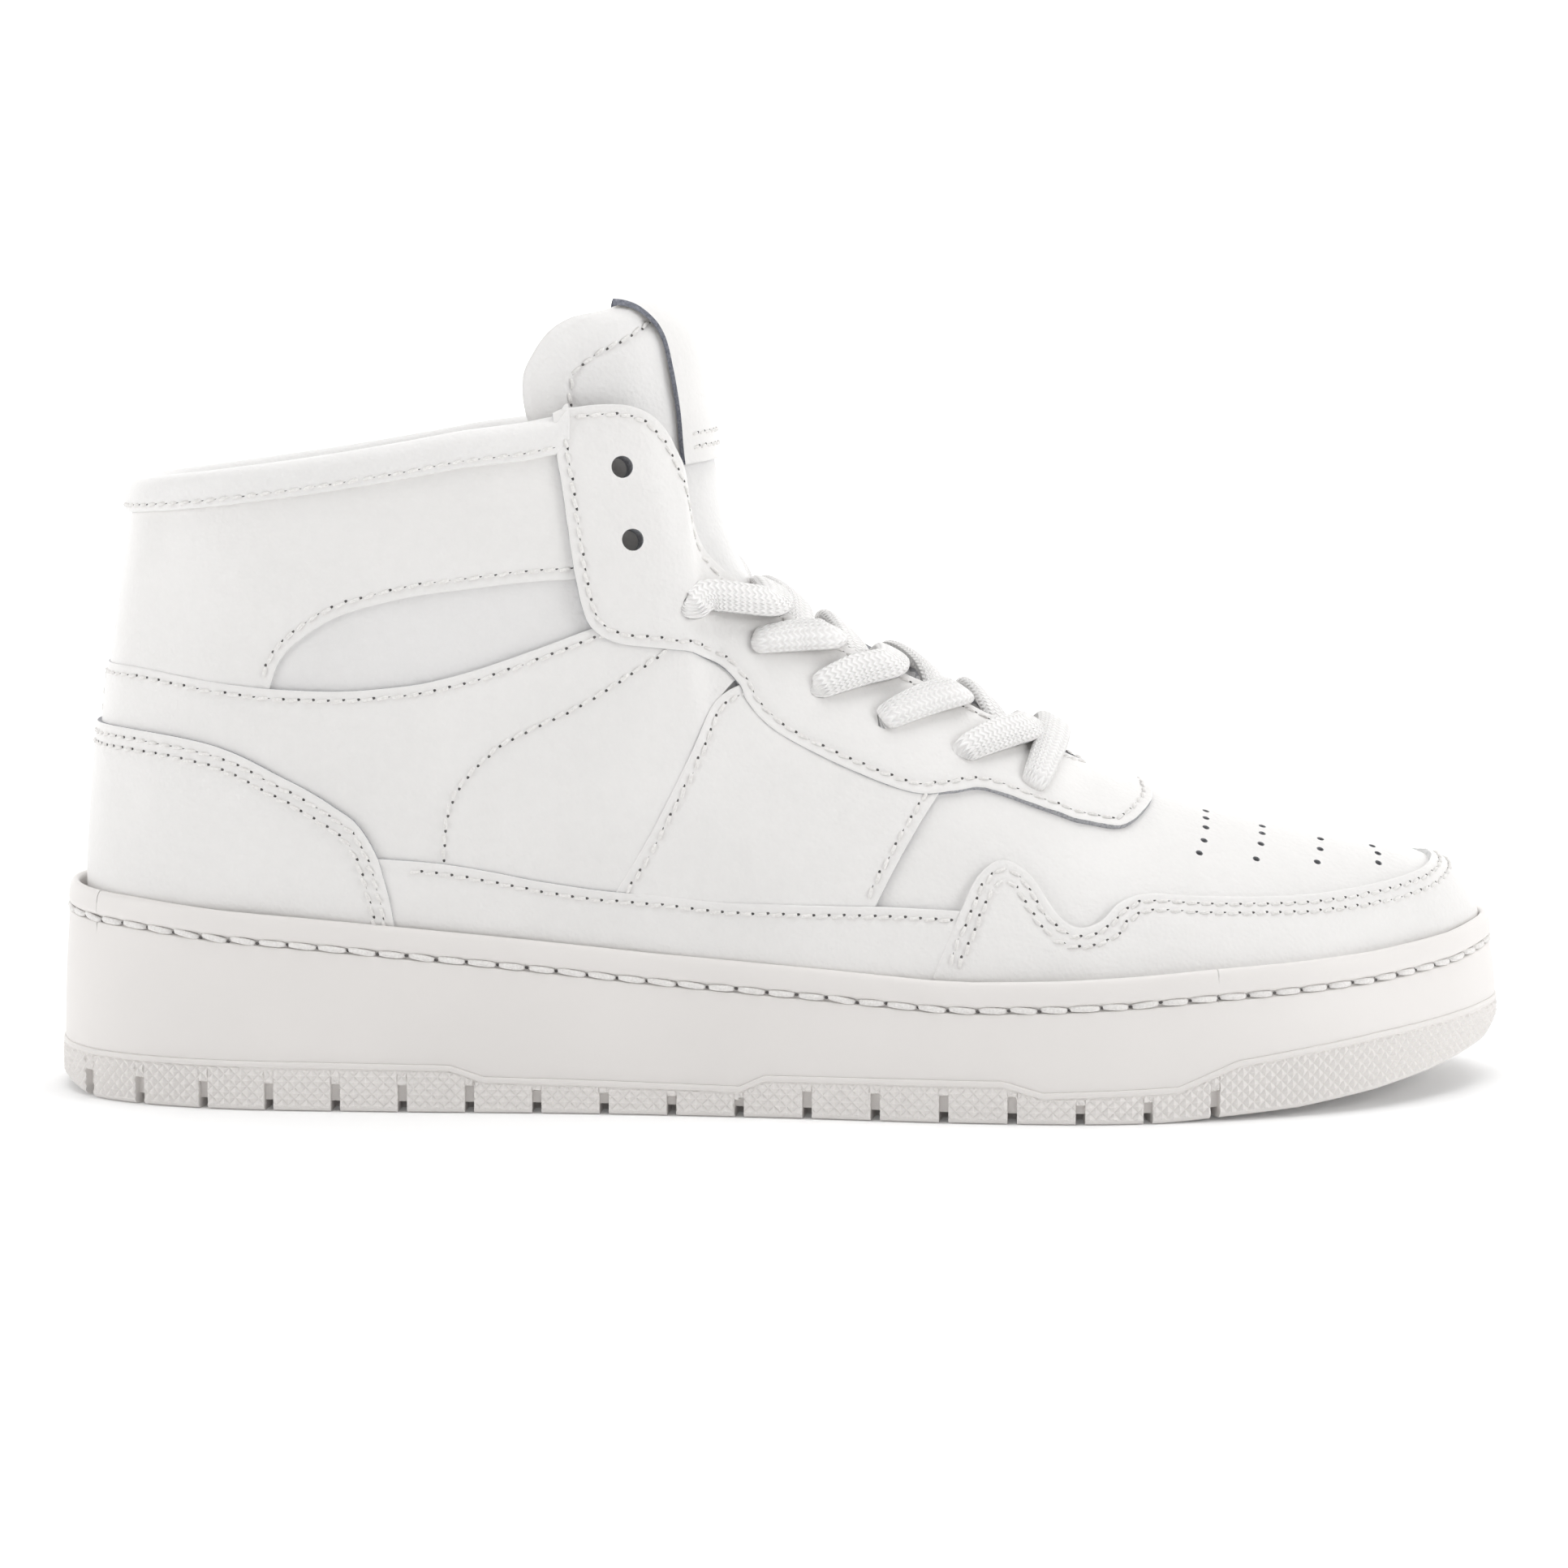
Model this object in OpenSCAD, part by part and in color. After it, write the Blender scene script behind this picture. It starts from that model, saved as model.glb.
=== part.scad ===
// White basketball high top, right shoe. Toe at +X, lateral side at -Y, ground at z = 0.
// The upper is described by stations: 0 at the back of the heel, 17 at the tip of the toe.
// Positive stations run along the lateral side, negative ones along the medial side.

/* [Sole] */
// thickness of the cup wall at its rim
rim_wall = 1.5; // [1.2:0.1:4]
// how far the cup wall leans in towards its rim
wall_lean = 2.3; // [0:0.1:5]
// distance between tread slots
slot_pitch = 13.5; // [8:0.5:20]
// width of a tread slot
slot_width = 1.8; // [1:0.1:4]
// depth of a tread slot into the side of the outsole
slot_depth = 7; // [3:1:15]

/* [Upper] */
// thickness of the base leather
leather = 1.5; // [1:0.1:2.5]
// height of the overlays' outer face above the base leather
overlay = 1.5; // [1:0.1:2.5]
// glue gap under an overlay
overlay_gap = 0.4; // [0.1:0.1:0.6]
// half the gap between neighbouring overlays
seam = 0.2; // [0.1:0.05:0.5]
// extra thickness of the collar padding
collar_pad = 4.5; // [1:0.5:8]

/* [Fastening] */
// diameter of the eyelet holes
eyelet_d = 4.4; // [3:0.1:6]
// diameter of the toe perforations
perf_d = 1.5; // [0.8:0.1:2.5]
// width of the flat lace
lace_w = 7.5; // [5:0.5:10]
// thickness of the flat lace
lace_t = 1.6; // [1:0.1:2.5]

/* [Tongue] */
// thickness of the tongue's padding
tongue_pad = 4; // [2:0.5:8]
// height at which the tongue folds forward
fold_z = 149; // [146:1:154]

/* [Show] */
// sub-part to build, or all

/* [Hidden] */
rubber = [0.93, 0.92, 0.90];
white = [0.95, 0.95, 0.94];
shade = [0.90, 0.90, 0.90];
textile = [0.86, 0.86, 0.87];
foam = [0.80, 0.80, 0.78];

// ---- sole ----
// plan outline: x, lateral y, medial y
plan = [[-150, 0, 0], [-146, -16, 16], [-134, -28, 27], [-112, -36, 34.5], [-80, -39, 36.5],
  [-40, -41, 36], [0, -45.5, 38], [35, -51, 43.5], [65, -52.5, 49.5], [92, -47, 52.5],
  [115, -37, 49.5], [132, -23.5, 41], [144, -8, 27], [150, 9, 9]];
// heights along the shoe: x, z
z_ground = [[-150, 2.5], [-142, 0], [75, 0], [86, 0.7], [103, 1.7], [120, 3.8], [132, 5.8],
  [146, 9], [150, 12.5]];
z_band = [[-150, 10.2], [-96, 10], [-67, 9.7], [-60, 7.4], [-9, 6.3], [-4, 8.6], [43, 8.7],
  [51, 6.4], [78, 7.3], [90, 12], [103, 13.6], [120, 15.5], [139, 16.8], [150, 17.2]];
z_rim = [[-150, 43], [-133, 42], [-115, 40.2], [-98, 39], [-79, 37.4], [-59, 35.6], [-27, 32.5],
  [6, 30], [28, 28.3], [37, 28], [54, 28.4], [70, 29.2], [86, 30.2], [103, 30.8], [120, 31.6],
  [139, 33], [150, 34.6]];
z_bed = [[-150, 25.8], [-97, 25.3], [-70, 23.8], [-47, 21.3], [-32, 19.8], [-19, 18.3],
  [-6, 17.3], [11, 16.3], [31, 15.3], [50, 14.8], [66, 15.2], [84, 15.8], [104, 17.8],
  [122, 20.3], [136, 22.6], [150, 23.8]];
// top of the cup's floor
z_floor = [[-150, 19], [-97, 19], [-60, 15], [-20, 12], [20, 11], [50, 10.5], [80, 11.5],
  [90, 14], [104, 15.5], [122, 17.5], [139, 18.8], [150, 19.2]];
steps = 3;
np = len(plan) - 1;
loop_n = 2 * np * steps;
function wrap(k) = (k % (2 * np) + 2 * np) % (2 * np);
function corner(k) = let(j = wrap(k)) j <= np ? [plan[j].x, plan[j].y]
  : [plan[2 * np - j].x, plan[2 * np - j].z];
function spline(a, b, c, d, f) = 0.5 * (2 * b + (c - a) * f + (2 * a - 5 * b + 4 * c - d) * f * f
  + (3 * b - a - 3 * c + d) * f * f * f);
function edge_at(i) = let(k = floor(i / steps), f = i / steps - k)
  spline(corner(k - 1), corner(k), corner(k + 1), corner(k + 2), f);
rim_pts = [for (i = [0:loop_n - 1]) edge_at(i)];
function out_dir(i) = let(d = rim_pts[(i + 1) % loop_n] - rim_pts[(i + loop_n - 1) % loop_n])
  [-d.y, d.x] / norm(d) * -1;
dirs = [for (i = [0:loop_n - 1]) -out_dir(i)];
function ring(inset, table, up = 0) = [for (i = [0:loop_n - 1])
  let(p = rim_pts[i] + dirs[i] * inset) [p.x, p.y, lookup(rim_pts[i].x, table) + up]];
function cap(base, flip) = [for (i = [0:loop_n / 2 - 1])
  let(a = base + i, b = base + i + 1, c = base + (loop_n - i - 1) % loop_n,
      d = base + (loop_n - i) % loop_n)
  each [if (i < loop_n / 2 - 1) (flip ? [a, b, c] : [c, b, a]),
        if (i > 0) (flip ? [a, c, d] : [d, c, a])]];
module ring_solid(rings) {
  n = len(rings);
  polyhedron([for (r = rings) each r],
    concat(cap(0, true), cap((n - 1) * loop_n, false),
      [for (k = [0:n - 2]) for (i = [0:loop_n - 1])
        let(a = k * loop_n + i, b = k * loop_n + (i + 1) % loop_n, c = b + loop_n, d = a + loop_n)
        each [[a, d, c], [a, c, b]]]));
}

module outsole() color(rubber) difference() {
  ring_solid([ring(2, z_ground), ring(0.4, z_ground, 2), ring(0, z_band)]);
  for (k = [0:17]) {
    x = -144 + slot_pitch * (k + (k > 0 ? 0 : 0.15));
    g = lookup(x, z_ground);
    for (s = [-1, 1]) {
      w = lookup(x, [for (p = plan) [p.x, abs(s < 0 ? p.y : p.z)]]);
      translate([x, s * (w - slot_depth + 20), g + 1.2])
        cube([slot_width, 40, 9], center = true);
    }
  }
}
module cupsole() color(rubber)
  ring_solid([ring(0, z_band, 0.05), ring(0.6, z_band, 8), ring(1.6, z_rim, -8),
    ring(wall_lean, z_rim, -1), ring(wall_lean + 0.5, z_rim),
    ring(wall_lean + rim_wall - 0.4, z_rim), ring(wall_lean + rim_wall, z_rim, -1),
    ring(wall_lean + rim_wall + 0.15, z_rim, -8), ring(6.2, z_floor)]);
module sidewall_stitching() color(white) {
  n = loop_n;
  r = [for (q = [[1.7, -6.1], [1, -5.9], [1, -4.9], [1.8, -4.7]]) ring(q[0], z_rim, q[1])];
  polyhedron([for (k = [0:3]) each r[k]],
    [for (k = [0:3]) for (i = [0:n - 1])
      let(a = k * n + i, b = k * n + (i + 1) % n, c = ((k + 1) % 4) * n + (i + 1) % n,
          d = ((k + 1) % 4) * n + i)
      each [[a, d, c], [a, c, b]]]);
}
module midsole_foam() color(foam)
  ring_solid([ring(6.6, z_floor, 0.05), ring(6.6, z_bed, -0.3)]);
module lasting_board() color(foam)
  ring_solid([ring(13.5, z_bed, -0.25), ring(13.5, z_bed, 2)]);
module sockliner() color(textile)
  ring_solid([ring(14, z_bed, 2.1), ring(13.8, z_bed, 5), ring(15, z_bed, 6)]);

// ---- upper ----
// station table: foot of the upper [x, lateral y, medial y, z], its top edge the same way,
// then the pull at the foot [x, out, up] and at the top [x, out, up] that bow the wall between
wall = [
  [[-142.5, 0, 0, 26], [-132.5, 0, 0, 125], [-1.7, 0, 30], [-4, 0, -25]],
  [[-137, -17, 16.5, 26], [-127.5, -16, 16, 125.6], [-1.5, 1.5, 30], [-3.5, 1.5, -25]],
  [[-122, -26, 25, 26], [-113.5, -26, 26, 127.2], [-0.5, 2.5, 30], [-1, 2.5, -28]],
  [[-97, -30.5, 28.5, 25.5], [-90, -31, 31, 130.5], [0, 3.5, 30], [0, 3, -30]],
  [[-70, -32.5, 28.5, 24], [-65, -31, 31, 135], [0, 4.5, 30], [0, 3.5, -30]],
  [[-47, -33.5, 28, 21.5], [-45.5, -30.5, 30.5, 140], [0, 5, 30], [1, 4, -32]],
  [[-32, -34.5, 28, 20], [-30, -27, 27.5, 140.3], [0, 6, 30], [1, 5, -34]],
  [[-19, -36, 29, 18.5], [-22.5, -23, 23.5, 131], [0, 6.5, 28], [2, 7, -30]],
  [[-6, -37.5, 29.5, 17.5], [-17, -19, 19.5, 111], [0, 7, 25], [2, 11, -22]],
  [[11, -40, 31.2, 16.5], [6, -16, 16.5, 94], [0, 7, 22], [1, 15, -15]],
  [[31, -43, 35, 15.5], [31, -13, 13.5, 81.5], [0, 6.5, 20], [1, 18.5, -11]],
  [[50, -44.5, 39.5, 15], [52, -9, 9.5, 70.5], [0, 6, 18], [1, 21, -7.5]],
  [[66, -45.5, 43, 15.5], [62, 0, 0, 65], [0, 6, 17], [2, 24, -1]],
  [[84, -42.5, 46, 16], [78, 0, 0, 59.8], [0.5, 6, 16], [2, 23, -0.5]],
  [[104, -35, 45.5, 18], [93, 0.5, 0.5, 55.7], [1, 5.5, 16], [5, 19, -0.8]],
  [[122, -22.5, 39.5, 20.5], [105, 1.5, 1.5, 52.8], [2.5, 5, 16], [14, 15, -1.2]],
  [[136, -7, 27, 23], [113, 2.5, 2.5, 51], [3.5, 2.5, 16.5], [19, 11, -1.8]],
  [[143, 9, 9, 24], [118, 3, 3, 49.8], [4, 0.5, 17], [19, 1, -2.5]]];
nw = len(wall) - 1;
closed_from = 12;
function wmod(c) = let(m = c - floor(c / (2 * nw)) * 2 * nw) m;
function bow(k) = let(j = wmod(k), med = j > nw, i = med ? 2 * nw - j : j, w = wall[i],
    s = (i == 0 || i == nw || med) ? 1 : -1,
    f = [w[0][0], med ? w[0][2] : w[0][1], w[0][3]], t = [w[1][0], med ? w[1][2] : w[1][1], w[1][3]])
  [f, f + [w[2][0], s * w[2][1], w[2][2]], t + [w[3][0], s * w[3][1], w[3][2]], t];
bows = [for (k = [0:2 * nw - 1]) bow(k)];
function mix4(c) = let(m = wmod(c), k = floor(m), f = m - k, n = 2 * nw)
  spline(bows[(k + n - 1) % n], bows[k], bows[(k + 1) % n], bows[(k + 2) % n], f);
function crown(c) = let(m = wmod(c)) m >= closed_from && m <= 2 * nw - closed_from;
// the curve of the wall at one station, joined to the other side along the toe's crown
function section(c) = let(q = mix4(c)) !crown(c) ? q
  : let(m = wmod(c), lo = min(m, 2 * nw - m), t = (mix4(lo)[3] + mix4(2 * nw - lo)[3]) / 2)
    [q[0], q[1], q[2], t];
function along(q, v) = let(w = 1 - v)
  q[0] * w * w * w + q[1] * 3 * w * w * v + q[2] * 3 * w * v * v + q[3] * v * v * v;
function skin(c, v) = along(section(c), v);
function unit(a) = a / max(norm(a), 1e-9);
function face(c, v) = let(e = 0.01, u = min(max(v, e), 1 - e))
  unit(cross(skin(c + e, u) - skin(c - e, u), skin(c, u + e) - skin(c, u - e)));
function facing(c, v) = (v < 0.999 || !crown(c)) ? face(c, v)
  : let(m = wmod(c), lo = min(m, 2 * nw - m)) unit(face(lo, 1) + face(2 * nw - lo, 1));
function bell(t) = t <= 0 || t >= 1 ? 0 : pow(sin(180 * t), 0.7);
function pad(c, v) = let(m = wmod(c), s = min(m, 2 * nw - m))
  s > 5.6 ? 0 : collar_pad * bell((v - 0.62) / 0.42) * min(1, (5.6 - s) / 1.5);
// a point on the upper: station, share of the wall's height, distance out from the base leather
function spot(c, v, d) = let(m = wmod(c), s = min(m, 2 * nw - m),
    k = (v > 0.999 && crown(c)) ? round(s * 1e6) / 1e6 : m)
  skin(k, v) + facing(k, v) * (d < -2.65 ? d - pad(c, v) : d);
// share of the wall's height at which a station reaches height z
function share(c, z, lo = 0, hi = 1, n = 14) = n == 0 ? (lo + hi) / 2
  : let(m = (lo + hi) / 2) skin(c, m).z < z ? share(c, z, m, hi, n - 1) : share(c, z, lo, m, n - 1);
// heights along stations turned into shares, with the rows between them
function refine(list, n) = [for (i = [0:len(list) - 2]) for (k = [0:n - 1])
    list[i] + (list[i + 1] - list[i]) * k / n, list[len(list) - 1]];
function at_z(list) = [for (p = list) [p.x, share(p.x, p.y)]];
function other(list) = [for (i = [len(list) - 1:-1:0]) [-list[i].x, list[i].y]];
// a piece of sheet lying on the upper between a lower and an upper edge
module sheet(lo, hi, d0, d1, rows = 3, joined = false) {
  m = len(lo);
  n = rows + 1;
  ring_shut = abs(hi[m - 1].x - hi[0].x) > 2 * nw - 0.01;
  grid = [for (i = [0:m - 1]) for (j = [0:rows]) lo[i] + (hi[i] - lo[i]) * j / rows];
  pts = [for (g = grid) spot(g.x, g.y, d1), for (g = grid) spot(g.x, g.y, d0)];
  in = m * n;
  function shut(i) = joined && hi[i].y > 0.999 && hi[i + 1].y > 0.999 && crown(hi[i].x) && crown(hi[i + 1].x);
  polyhedron(pts, [for (i = [0:m - 2]) each [
    for (j = [0:rows - 1]) let(a = i * n + j, b = a + 1, c = a + n + 1, d = a + n)
      each [[a, b, c], [a, c, d], [in + a, in + c, in + b], [in + a, in + d, in + c]],
    each let(a = i * n, d = a + n) [[a, d, in + d], [a, in + d, in + a]],
    if (!shut(i)) let(a = i * n + rows, d = a + n) each [[a, in + d, d], [a, in + a, in + d]]],
    if (!ring_shut) for (j = [0:rows - 1]) each let(a = j, b = j + 1)
      [[a, in + a, in + b], [a, in + b, b]],
    if (!ring_shut) for (j = [0:rows - 1]) each let(a = (m - 1) * n + j, b = a + 1)
      [[a, in + b, in + a], [a, b, in + b]]]);
}
module layer(c0, c1, v0, v1, d0, d1, rows) {
  m = round((c1 - c0) * 2);
  st = [for (i = [0:m]) c0 + (c1 - c0) * i / m];
  sheet([for (c = st) [c, v0]], [for (c = st) [c, v1]], d0, d1, rows, true);
}
// eyelets: station, height
eyelets = [[5.78, 128.7], [5.95, 114.3], [7.21, 100.7], [8.52, 92.6], [9.01, 83.6], [9.55, 77.1],
  [10.21, 70.3], [10.87, 64.2]];
function eye_v(k) = share(eyelets[k].x, eyelets[k].y);
module eyelet_holes(side) for (k = [0:len(eyelets) - 1]) {
  c = side * eyelets[k].x;
  v = eye_v(k);
  p = spot(c, v, 0);
  d = facing(c, v);
  translate(p) rotate([0, acos(d.z), atan2(d.y, d.x)])
    translate([0, 0, -7]) rotate(8) cylinder(d = eyelet_d, h = 11, $fn = 12);
}
// toe perforations: station, share of height
perfs = [[13.18, 0.64], [13.29, 0.7], [13.38, 0.77], [13.44, 0.83], [13.5, 0.89], [13.84, 0.64],
  [13.99, 0.72], [14.1, 0.79], [14.19, 0.85], [14.53, 0.64], [14.69, 0.72], [14.86, 0.8],
  [15.36, 0.64], [15.56, 0.71], [15.73, 0.78]];

// shares of the wall's height that the rows of every layer keep to
layer_rows = 8;
module stiffening(c0, c1) color(foam)
  layer(c0, c1, 0, 1, -2.5, -leather, layer_rows);
module interlining_heel() stiffening(-3, 3);
module interlining_lateral() difference() {
  stiffening(3, 11);
  eyelet_holes(1);
}
module interlining_medial() difference() {
  stiffening(-11, -3);
  eyelet_holes(-1);
}
module interlining_toe() stiffening(11, 23);
module lining() color(textile) difference() {
  layer(0, 2 * nw, 0, 1, -3.8, -3, layer_rows);
  eyelet_holes(1);
  eyelet_holes(-1);
}
module collar_foam() color(foam) layer(-5, 5, 5 / layer_rows, 1, -3, -2.6, 3);
module toe_puff() color(foam) layer(14, 20, 0, 6 / layer_rows, -3, -2.5, 6);
module heel_counter() color(foam) layer(-2.5, 2.5, 0, 4 / layer_rows, -3, -2.5, 4);
module quarter_base() color(shade) difference() {
  layer(-11, 11, 0, 1, 0.1 - leather, 0, layer_rows);
  eyelet_holes(1);
  eyelet_holes(-1);
}
module vamp() color(white) difference() {
  layer(11, 23, 0, 1, 0.1 - leather, 0, layer_rows);
  for (side = [1, -1], q = perfs) {
    c = side * q.x;
    p = spot(c, q.y, 0);
    d = facing(c, q.y);
    translate(p) rotate([0, acos(d.z), atan2(d.y, d.x)])
      linear_extrude(height = 4, center = true) circle(d = perf_d, $fn = 6);
  }
}

// ---- overlays: their edges are station and height, lateral side ----
heel_top = [[0, 75.5], [0.5, 75.7], [1.4, 75.5], [2, 74.2], [2.4, 71.8], [2.8, 67], [3.05, 63.8],
  [3.2, 61.4], [3.38, 58], [3.53, 52], [3.6, 47], [3.65, 42.5], [3.69, 37]];
foxing_top = [[3.54, 51], [4.05, 50], [4.45, 48.5], [5, 46.3], [5.95, 44.5], [7.3, 43], [8.3, 42.4],
  [9.1, 42], [9.55, 41.8], [10.16, 41]];
band_top = [[0, 88], [0.6, 88], [1.3, 88], [1.75, 87], [2.1, 86], [2.4, 85.2], [2.7, 84.6],
  [3.2, 84.4], [3.8, 86], [4.2, 88.4], [4.8, 92.8], [5.45, 97]];
stay_low = [[4.97, 139.4], [5, 132], [5.07, 124], [5.14, 115.3], [5.22, 107], [5.36, 98.6],
  [5.6, 95], [6, 93.4], [6.75, 92.4], [7.4, 91.2], [8, 89.2], [8.26, 85.2], [8.34, 81.2],
  [8.6, 75.3], [9.2, 68.1], [9.75, 63.2], [10.1, 63.2], [10.43, 63.2], [11.1, 58.6], [11.7, 56.2],
  [12.3, 55], [12.72, 58.4]];
toe_top = [[10.13, 38.5], [10.2, 42], [10.34, 47.5], [10.56, 50.2], [10.84, 47.3], [11.17, 40.3],
  [11.48, 37.3], [11.82, 38.2], [12.1, 41.5], [12.45, 42.9], [13, 42.2], [13.8, 41.4], [14.3, 41.4],
  [14.85, 42.2], [15.5, 43.4], [16, 44.4], [16.6, 45.4], [17, 45.8]];
foot_v = 0.1;
function floor_of(list) = [for (p = list) [p.x, foot_v]];
function down(list, dv) = [for (p = list) [p.x, p.y - dv]];
function both(list) = concat(other(list), [for (i = [1:len(list) - 1]) list[i]]);
module overlay_sheet(lo, hi, rows, gap = overlay_gap)
  sheet(refine(lo, 2), refine(hi, 2), gap, overlay, rows);

module heel_overlay() color(white) {
  t = both(at_z(heel_top));
  overlay_sheet(floor_of(t), down(t, seam / 50), 4);
}
module toe_overlay() color(white) {
  t = at_z(toe_top);
  far = [for (i = [len(t) - 2:-1:0]) [2 * nw - t[i].x, t[i].y]];
  top = concat(t, far);
  overlay_sheet(floor_of(top), top, 4);
}

// a piece and its twin on the medial side
module sided(lo, hi, side, rows, gap = overlay_gap)
  if (side > 0) overlay_sheet(lo, hi, rows, gap);
  else overlay_sheet(other(lo), other(hi), rows, gap);

function z_of(list, c) = lookup(c, list);
function foxing_at(c) = z_of(foxing_top, c);
module foxing(side) {
  low = [3.74, 4.05, 4.45, 5, 5.5, 5.95, 6.6, 7.3, 8.3, 9.1, 9.5, 9.85];
  top = [3.6, 4.05, 4.45, 5, 5.5, 5.95, 6.6, 7.3, 8.3, 9.1, 9.6, 10.07];
  sided([for (c = low) [c, foot_v]], at_z([for (c = top) [c, foxing_at(c) - 0.2]]), side, 3);
}
module foxing_lateral() color(white) foxing(1);
module foxing_medial() color(white) foxing(-1);

// front quarter: a slanted four-sided piece below the eyestay
module front_quarter(side) {
  n = 5;
  lo = [for (k = [0:n]) let(c = 6.05 + (9.42 - 6.05) * k / n) [c, foxing_at(c) + 0.4]];
  hi = [[8.3, 81.2], [8.48, 76.9], [9.08, 69], [9.4, 65.8], [9.76, 62.5], [9.95, 61.8]];
  sided(at_z(lo), at_z(hi), side, 4);
}
module front_quarter_lateral() color(white) front_quarter(1);
module front_quarter_medial() color(white) front_quarter(-1);

// mid band: from the heel forward, above the heel overlay and the foxing, below the collar panel
module quarter_band(side) {
  hi = [for (c = [0.03, 0.6, 1.3, 1.75, 2.1, 2.4, 2.7, 3.2, 3.6, 3.9, 4.2, 4.8, 5.42])
    [c, z_of(band_top, c)]];
  front = [[5.72, 92.9], [6.5, 92.3], [7.1, 91.2], [8.1, 85]];
  top = concat(hi, front);
  low_c = [0.03, 0.6, 1.3, 1.75, 2.1, 2.4, 2.7, 3.04, 3.2, 3.37, 3.54, 3.75, 4.1, 4.6, 5, 5.45, 5.93];
  bot = [for (c = low_c) [c, c < 3.52 ? z_of(heel_top, c) + 0.5 : foxing_at(c) + 0.5]];
  sided(at_z(bot), at_z(top), side, 4);
}
module quarter_band_lateral() color(white) quarter_band(1);
module quarter_band_medial() color(white) quarter_band(-1);

collar_top_v = 0.945;
module collar_panel() color(white) {
  low = [[0, 88.5], [0.6, 88.5], [1.3, 88.5], [1.75, 87.5], [2.1, 86.5], [2.45, 85.8], [2.6, 86.2],
    [2.68, 90.3], [2.86, 95.2], [3.14, 99.5], [3.63, 103], [4.31, 105.2], [5.06, 106.4]];
  st = [0, 0.6, 1.1, 1.5, 1.9, 2.2, 2.45, 2.65, 2.9, 3.2, 3.7, 4.3, 4.86];
  overlay_sheet(both(at_z(low)), both([for (c = st) [c, collar_top_v]]), 4);
}
module collar_binding() color(white)
  layer(-4.85, 4.85, collar_top_v + 0.005, 1, overlay_gap, overlay + 0.7, 2);

// eyestay: from its rear edge to the throat
module eyestay(side) {
  lo = at_z([for (p = stay_low) p]);
  top_c = [5.05, 5.3, 5.6, 5.9, 6.2, 6.5, 6.75, 7, 7.2, 7.4, 7.65, 7.95, 8.25, 8.6, 8.95, 9.4,
    9.9, 10.4, 11, 11.5, 12.02, 12.6];
  hi = [for (c = top_c) [c, 1]];
  difference() {
    sided(lo, hi, side, 5, overlay_gap + 0.2);
    eyelet_holes(side);
  }
}
module eyestay_lateral() color(white) eyestay(1);
module eyestay_medial() color(white) eyestay(-1);

// ---- tongue ----
// front face along the middle, from under the vamp to the top: x, z, half width, bend radius
spine = [[64, 53, 20, 30], [48, 61, 23, 29], [28, 74, 26, 28], [8.5, 87.5, 28, 24], [-6, 103, 29, 20.5],
  [-11.8, 116.5, 34, 18.5], [-14.8, 130, 42, 20.5], [-16.2, 140, 47, 22], [-17.7, 149, 47, 22],
  [-19.3, 155, 43, 22], [-22.3, 159, 36.5, 22], [-26, 161.2, 27, 22], [-32, 162.2, 12, 22]];
bend = 78;
function spine_at(s) = let(k = min(max(floor(s), 0), len(spine) - 2), f = s - k,
    a = spine[max(k - 1, 0)], b = spine[k], c = spine[k + 1], d = spine[min(k + 2, len(spine) - 1)])
  spline(a, b, c, d, f);
function tongue_spot(w, s, d) = let(p = spine_at(s), e = 0.02,
    q = spine_at(min(s + e, len(spine) - 1)) - spine_at(max(s - e, 0)), t = unit([q.x, q.y]),
    up = [t.y, -t.x], k = min(max((s - 4) / 3, 0), 1), back = up * (1 - k) + [1, 0.1] * k,
    r = p[3], a = abs(w) * p[2], lim = r * bend * PI / 180,
    g = min(a, lim) * 180 / (PI * r), rest = max(a - lim, 0),
    y = r * sin(g) + rest * cos(bend) + d * sin(g), dep = r * (1 - cos(g)) + rest * sin(bend))
  [p.x - back.x * dep + up.x * d * cos(g), sign(w) * y, p.y - back.y * dep + up.y * d * cos(g)];
module tongue_slab(s0, s1, d0, d1, rows, cols = 12, wide = 1) {
  n = cols + 1;
  pts = [for (d = [d1, d0]) for (i = [0:rows]) for (j = [0:cols])
    tongue_spot((2 * j / cols - 1) * wide, s0 + (s1 - s0) * i / rows, d)];
  in = (rows + 1) * n;
  polyhedron(pts, [
    for (i = [0:rows - 1]) for (j = [0:cols - 1]) let(a = i * n + j, b = a + 1, c = b + n, d = a + n)
      each [[a, c, b], [a, d, c], [in + a, in + b, in + c], [in + a, in + c, in + d]],
    for (j = [0:cols - 1]) each let(a = j, b = j + 1) [[a, b, in + b], [a, in + b, in + a]],
    for (j = [0:cols - 1]) each let(a = rows * n + j, b = a + 1)
      [[a, in + b, b], [a, in + a, in + b]],
    for (i = [0:rows - 1]) each let(a = i * n, d = a + n) [[a, in + a, in + d], [a, in + d, d]],
    for (i = [0:rows - 1]) each let(a = i * n + cols, d = a + n)
      [[a, in + d, in + a], [a, d, in + d]]]);
}
fold_s = 8;
gap_s = 0.03;
t0 = -1.2;
t1 = t0 - tongue_pad;
t2 = t1 - 0.9;
module tongue_leather() color(white) tongue_slab(0, fold_s - gap_s, t0, 0, 12);
module tongue_padding() color(foam) tongue_slab(0, fold_s - gap_s, t1, t0, 12);
module tongue_lining() color(textile) tongue_slab(0, fold_s - gap_s, t2, t1, 12);
top_s = len(spine) - 1.02;
module tongue_top_leather() color(white) tongue_slab(fold_s + gap_s, top_s, t0, 0, 6);
module tongue_top_padding() color(foam) tongue_slab(fold_s + gap_s, top_s, t1, t0, 6);
module tongue_top_lining() color(textile) tongue_slab(fold_s + gap_s, top_s, t2, t1, 6);
module tongue_label() color(white) tongue_label_strip();
label_half = 17;
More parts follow.
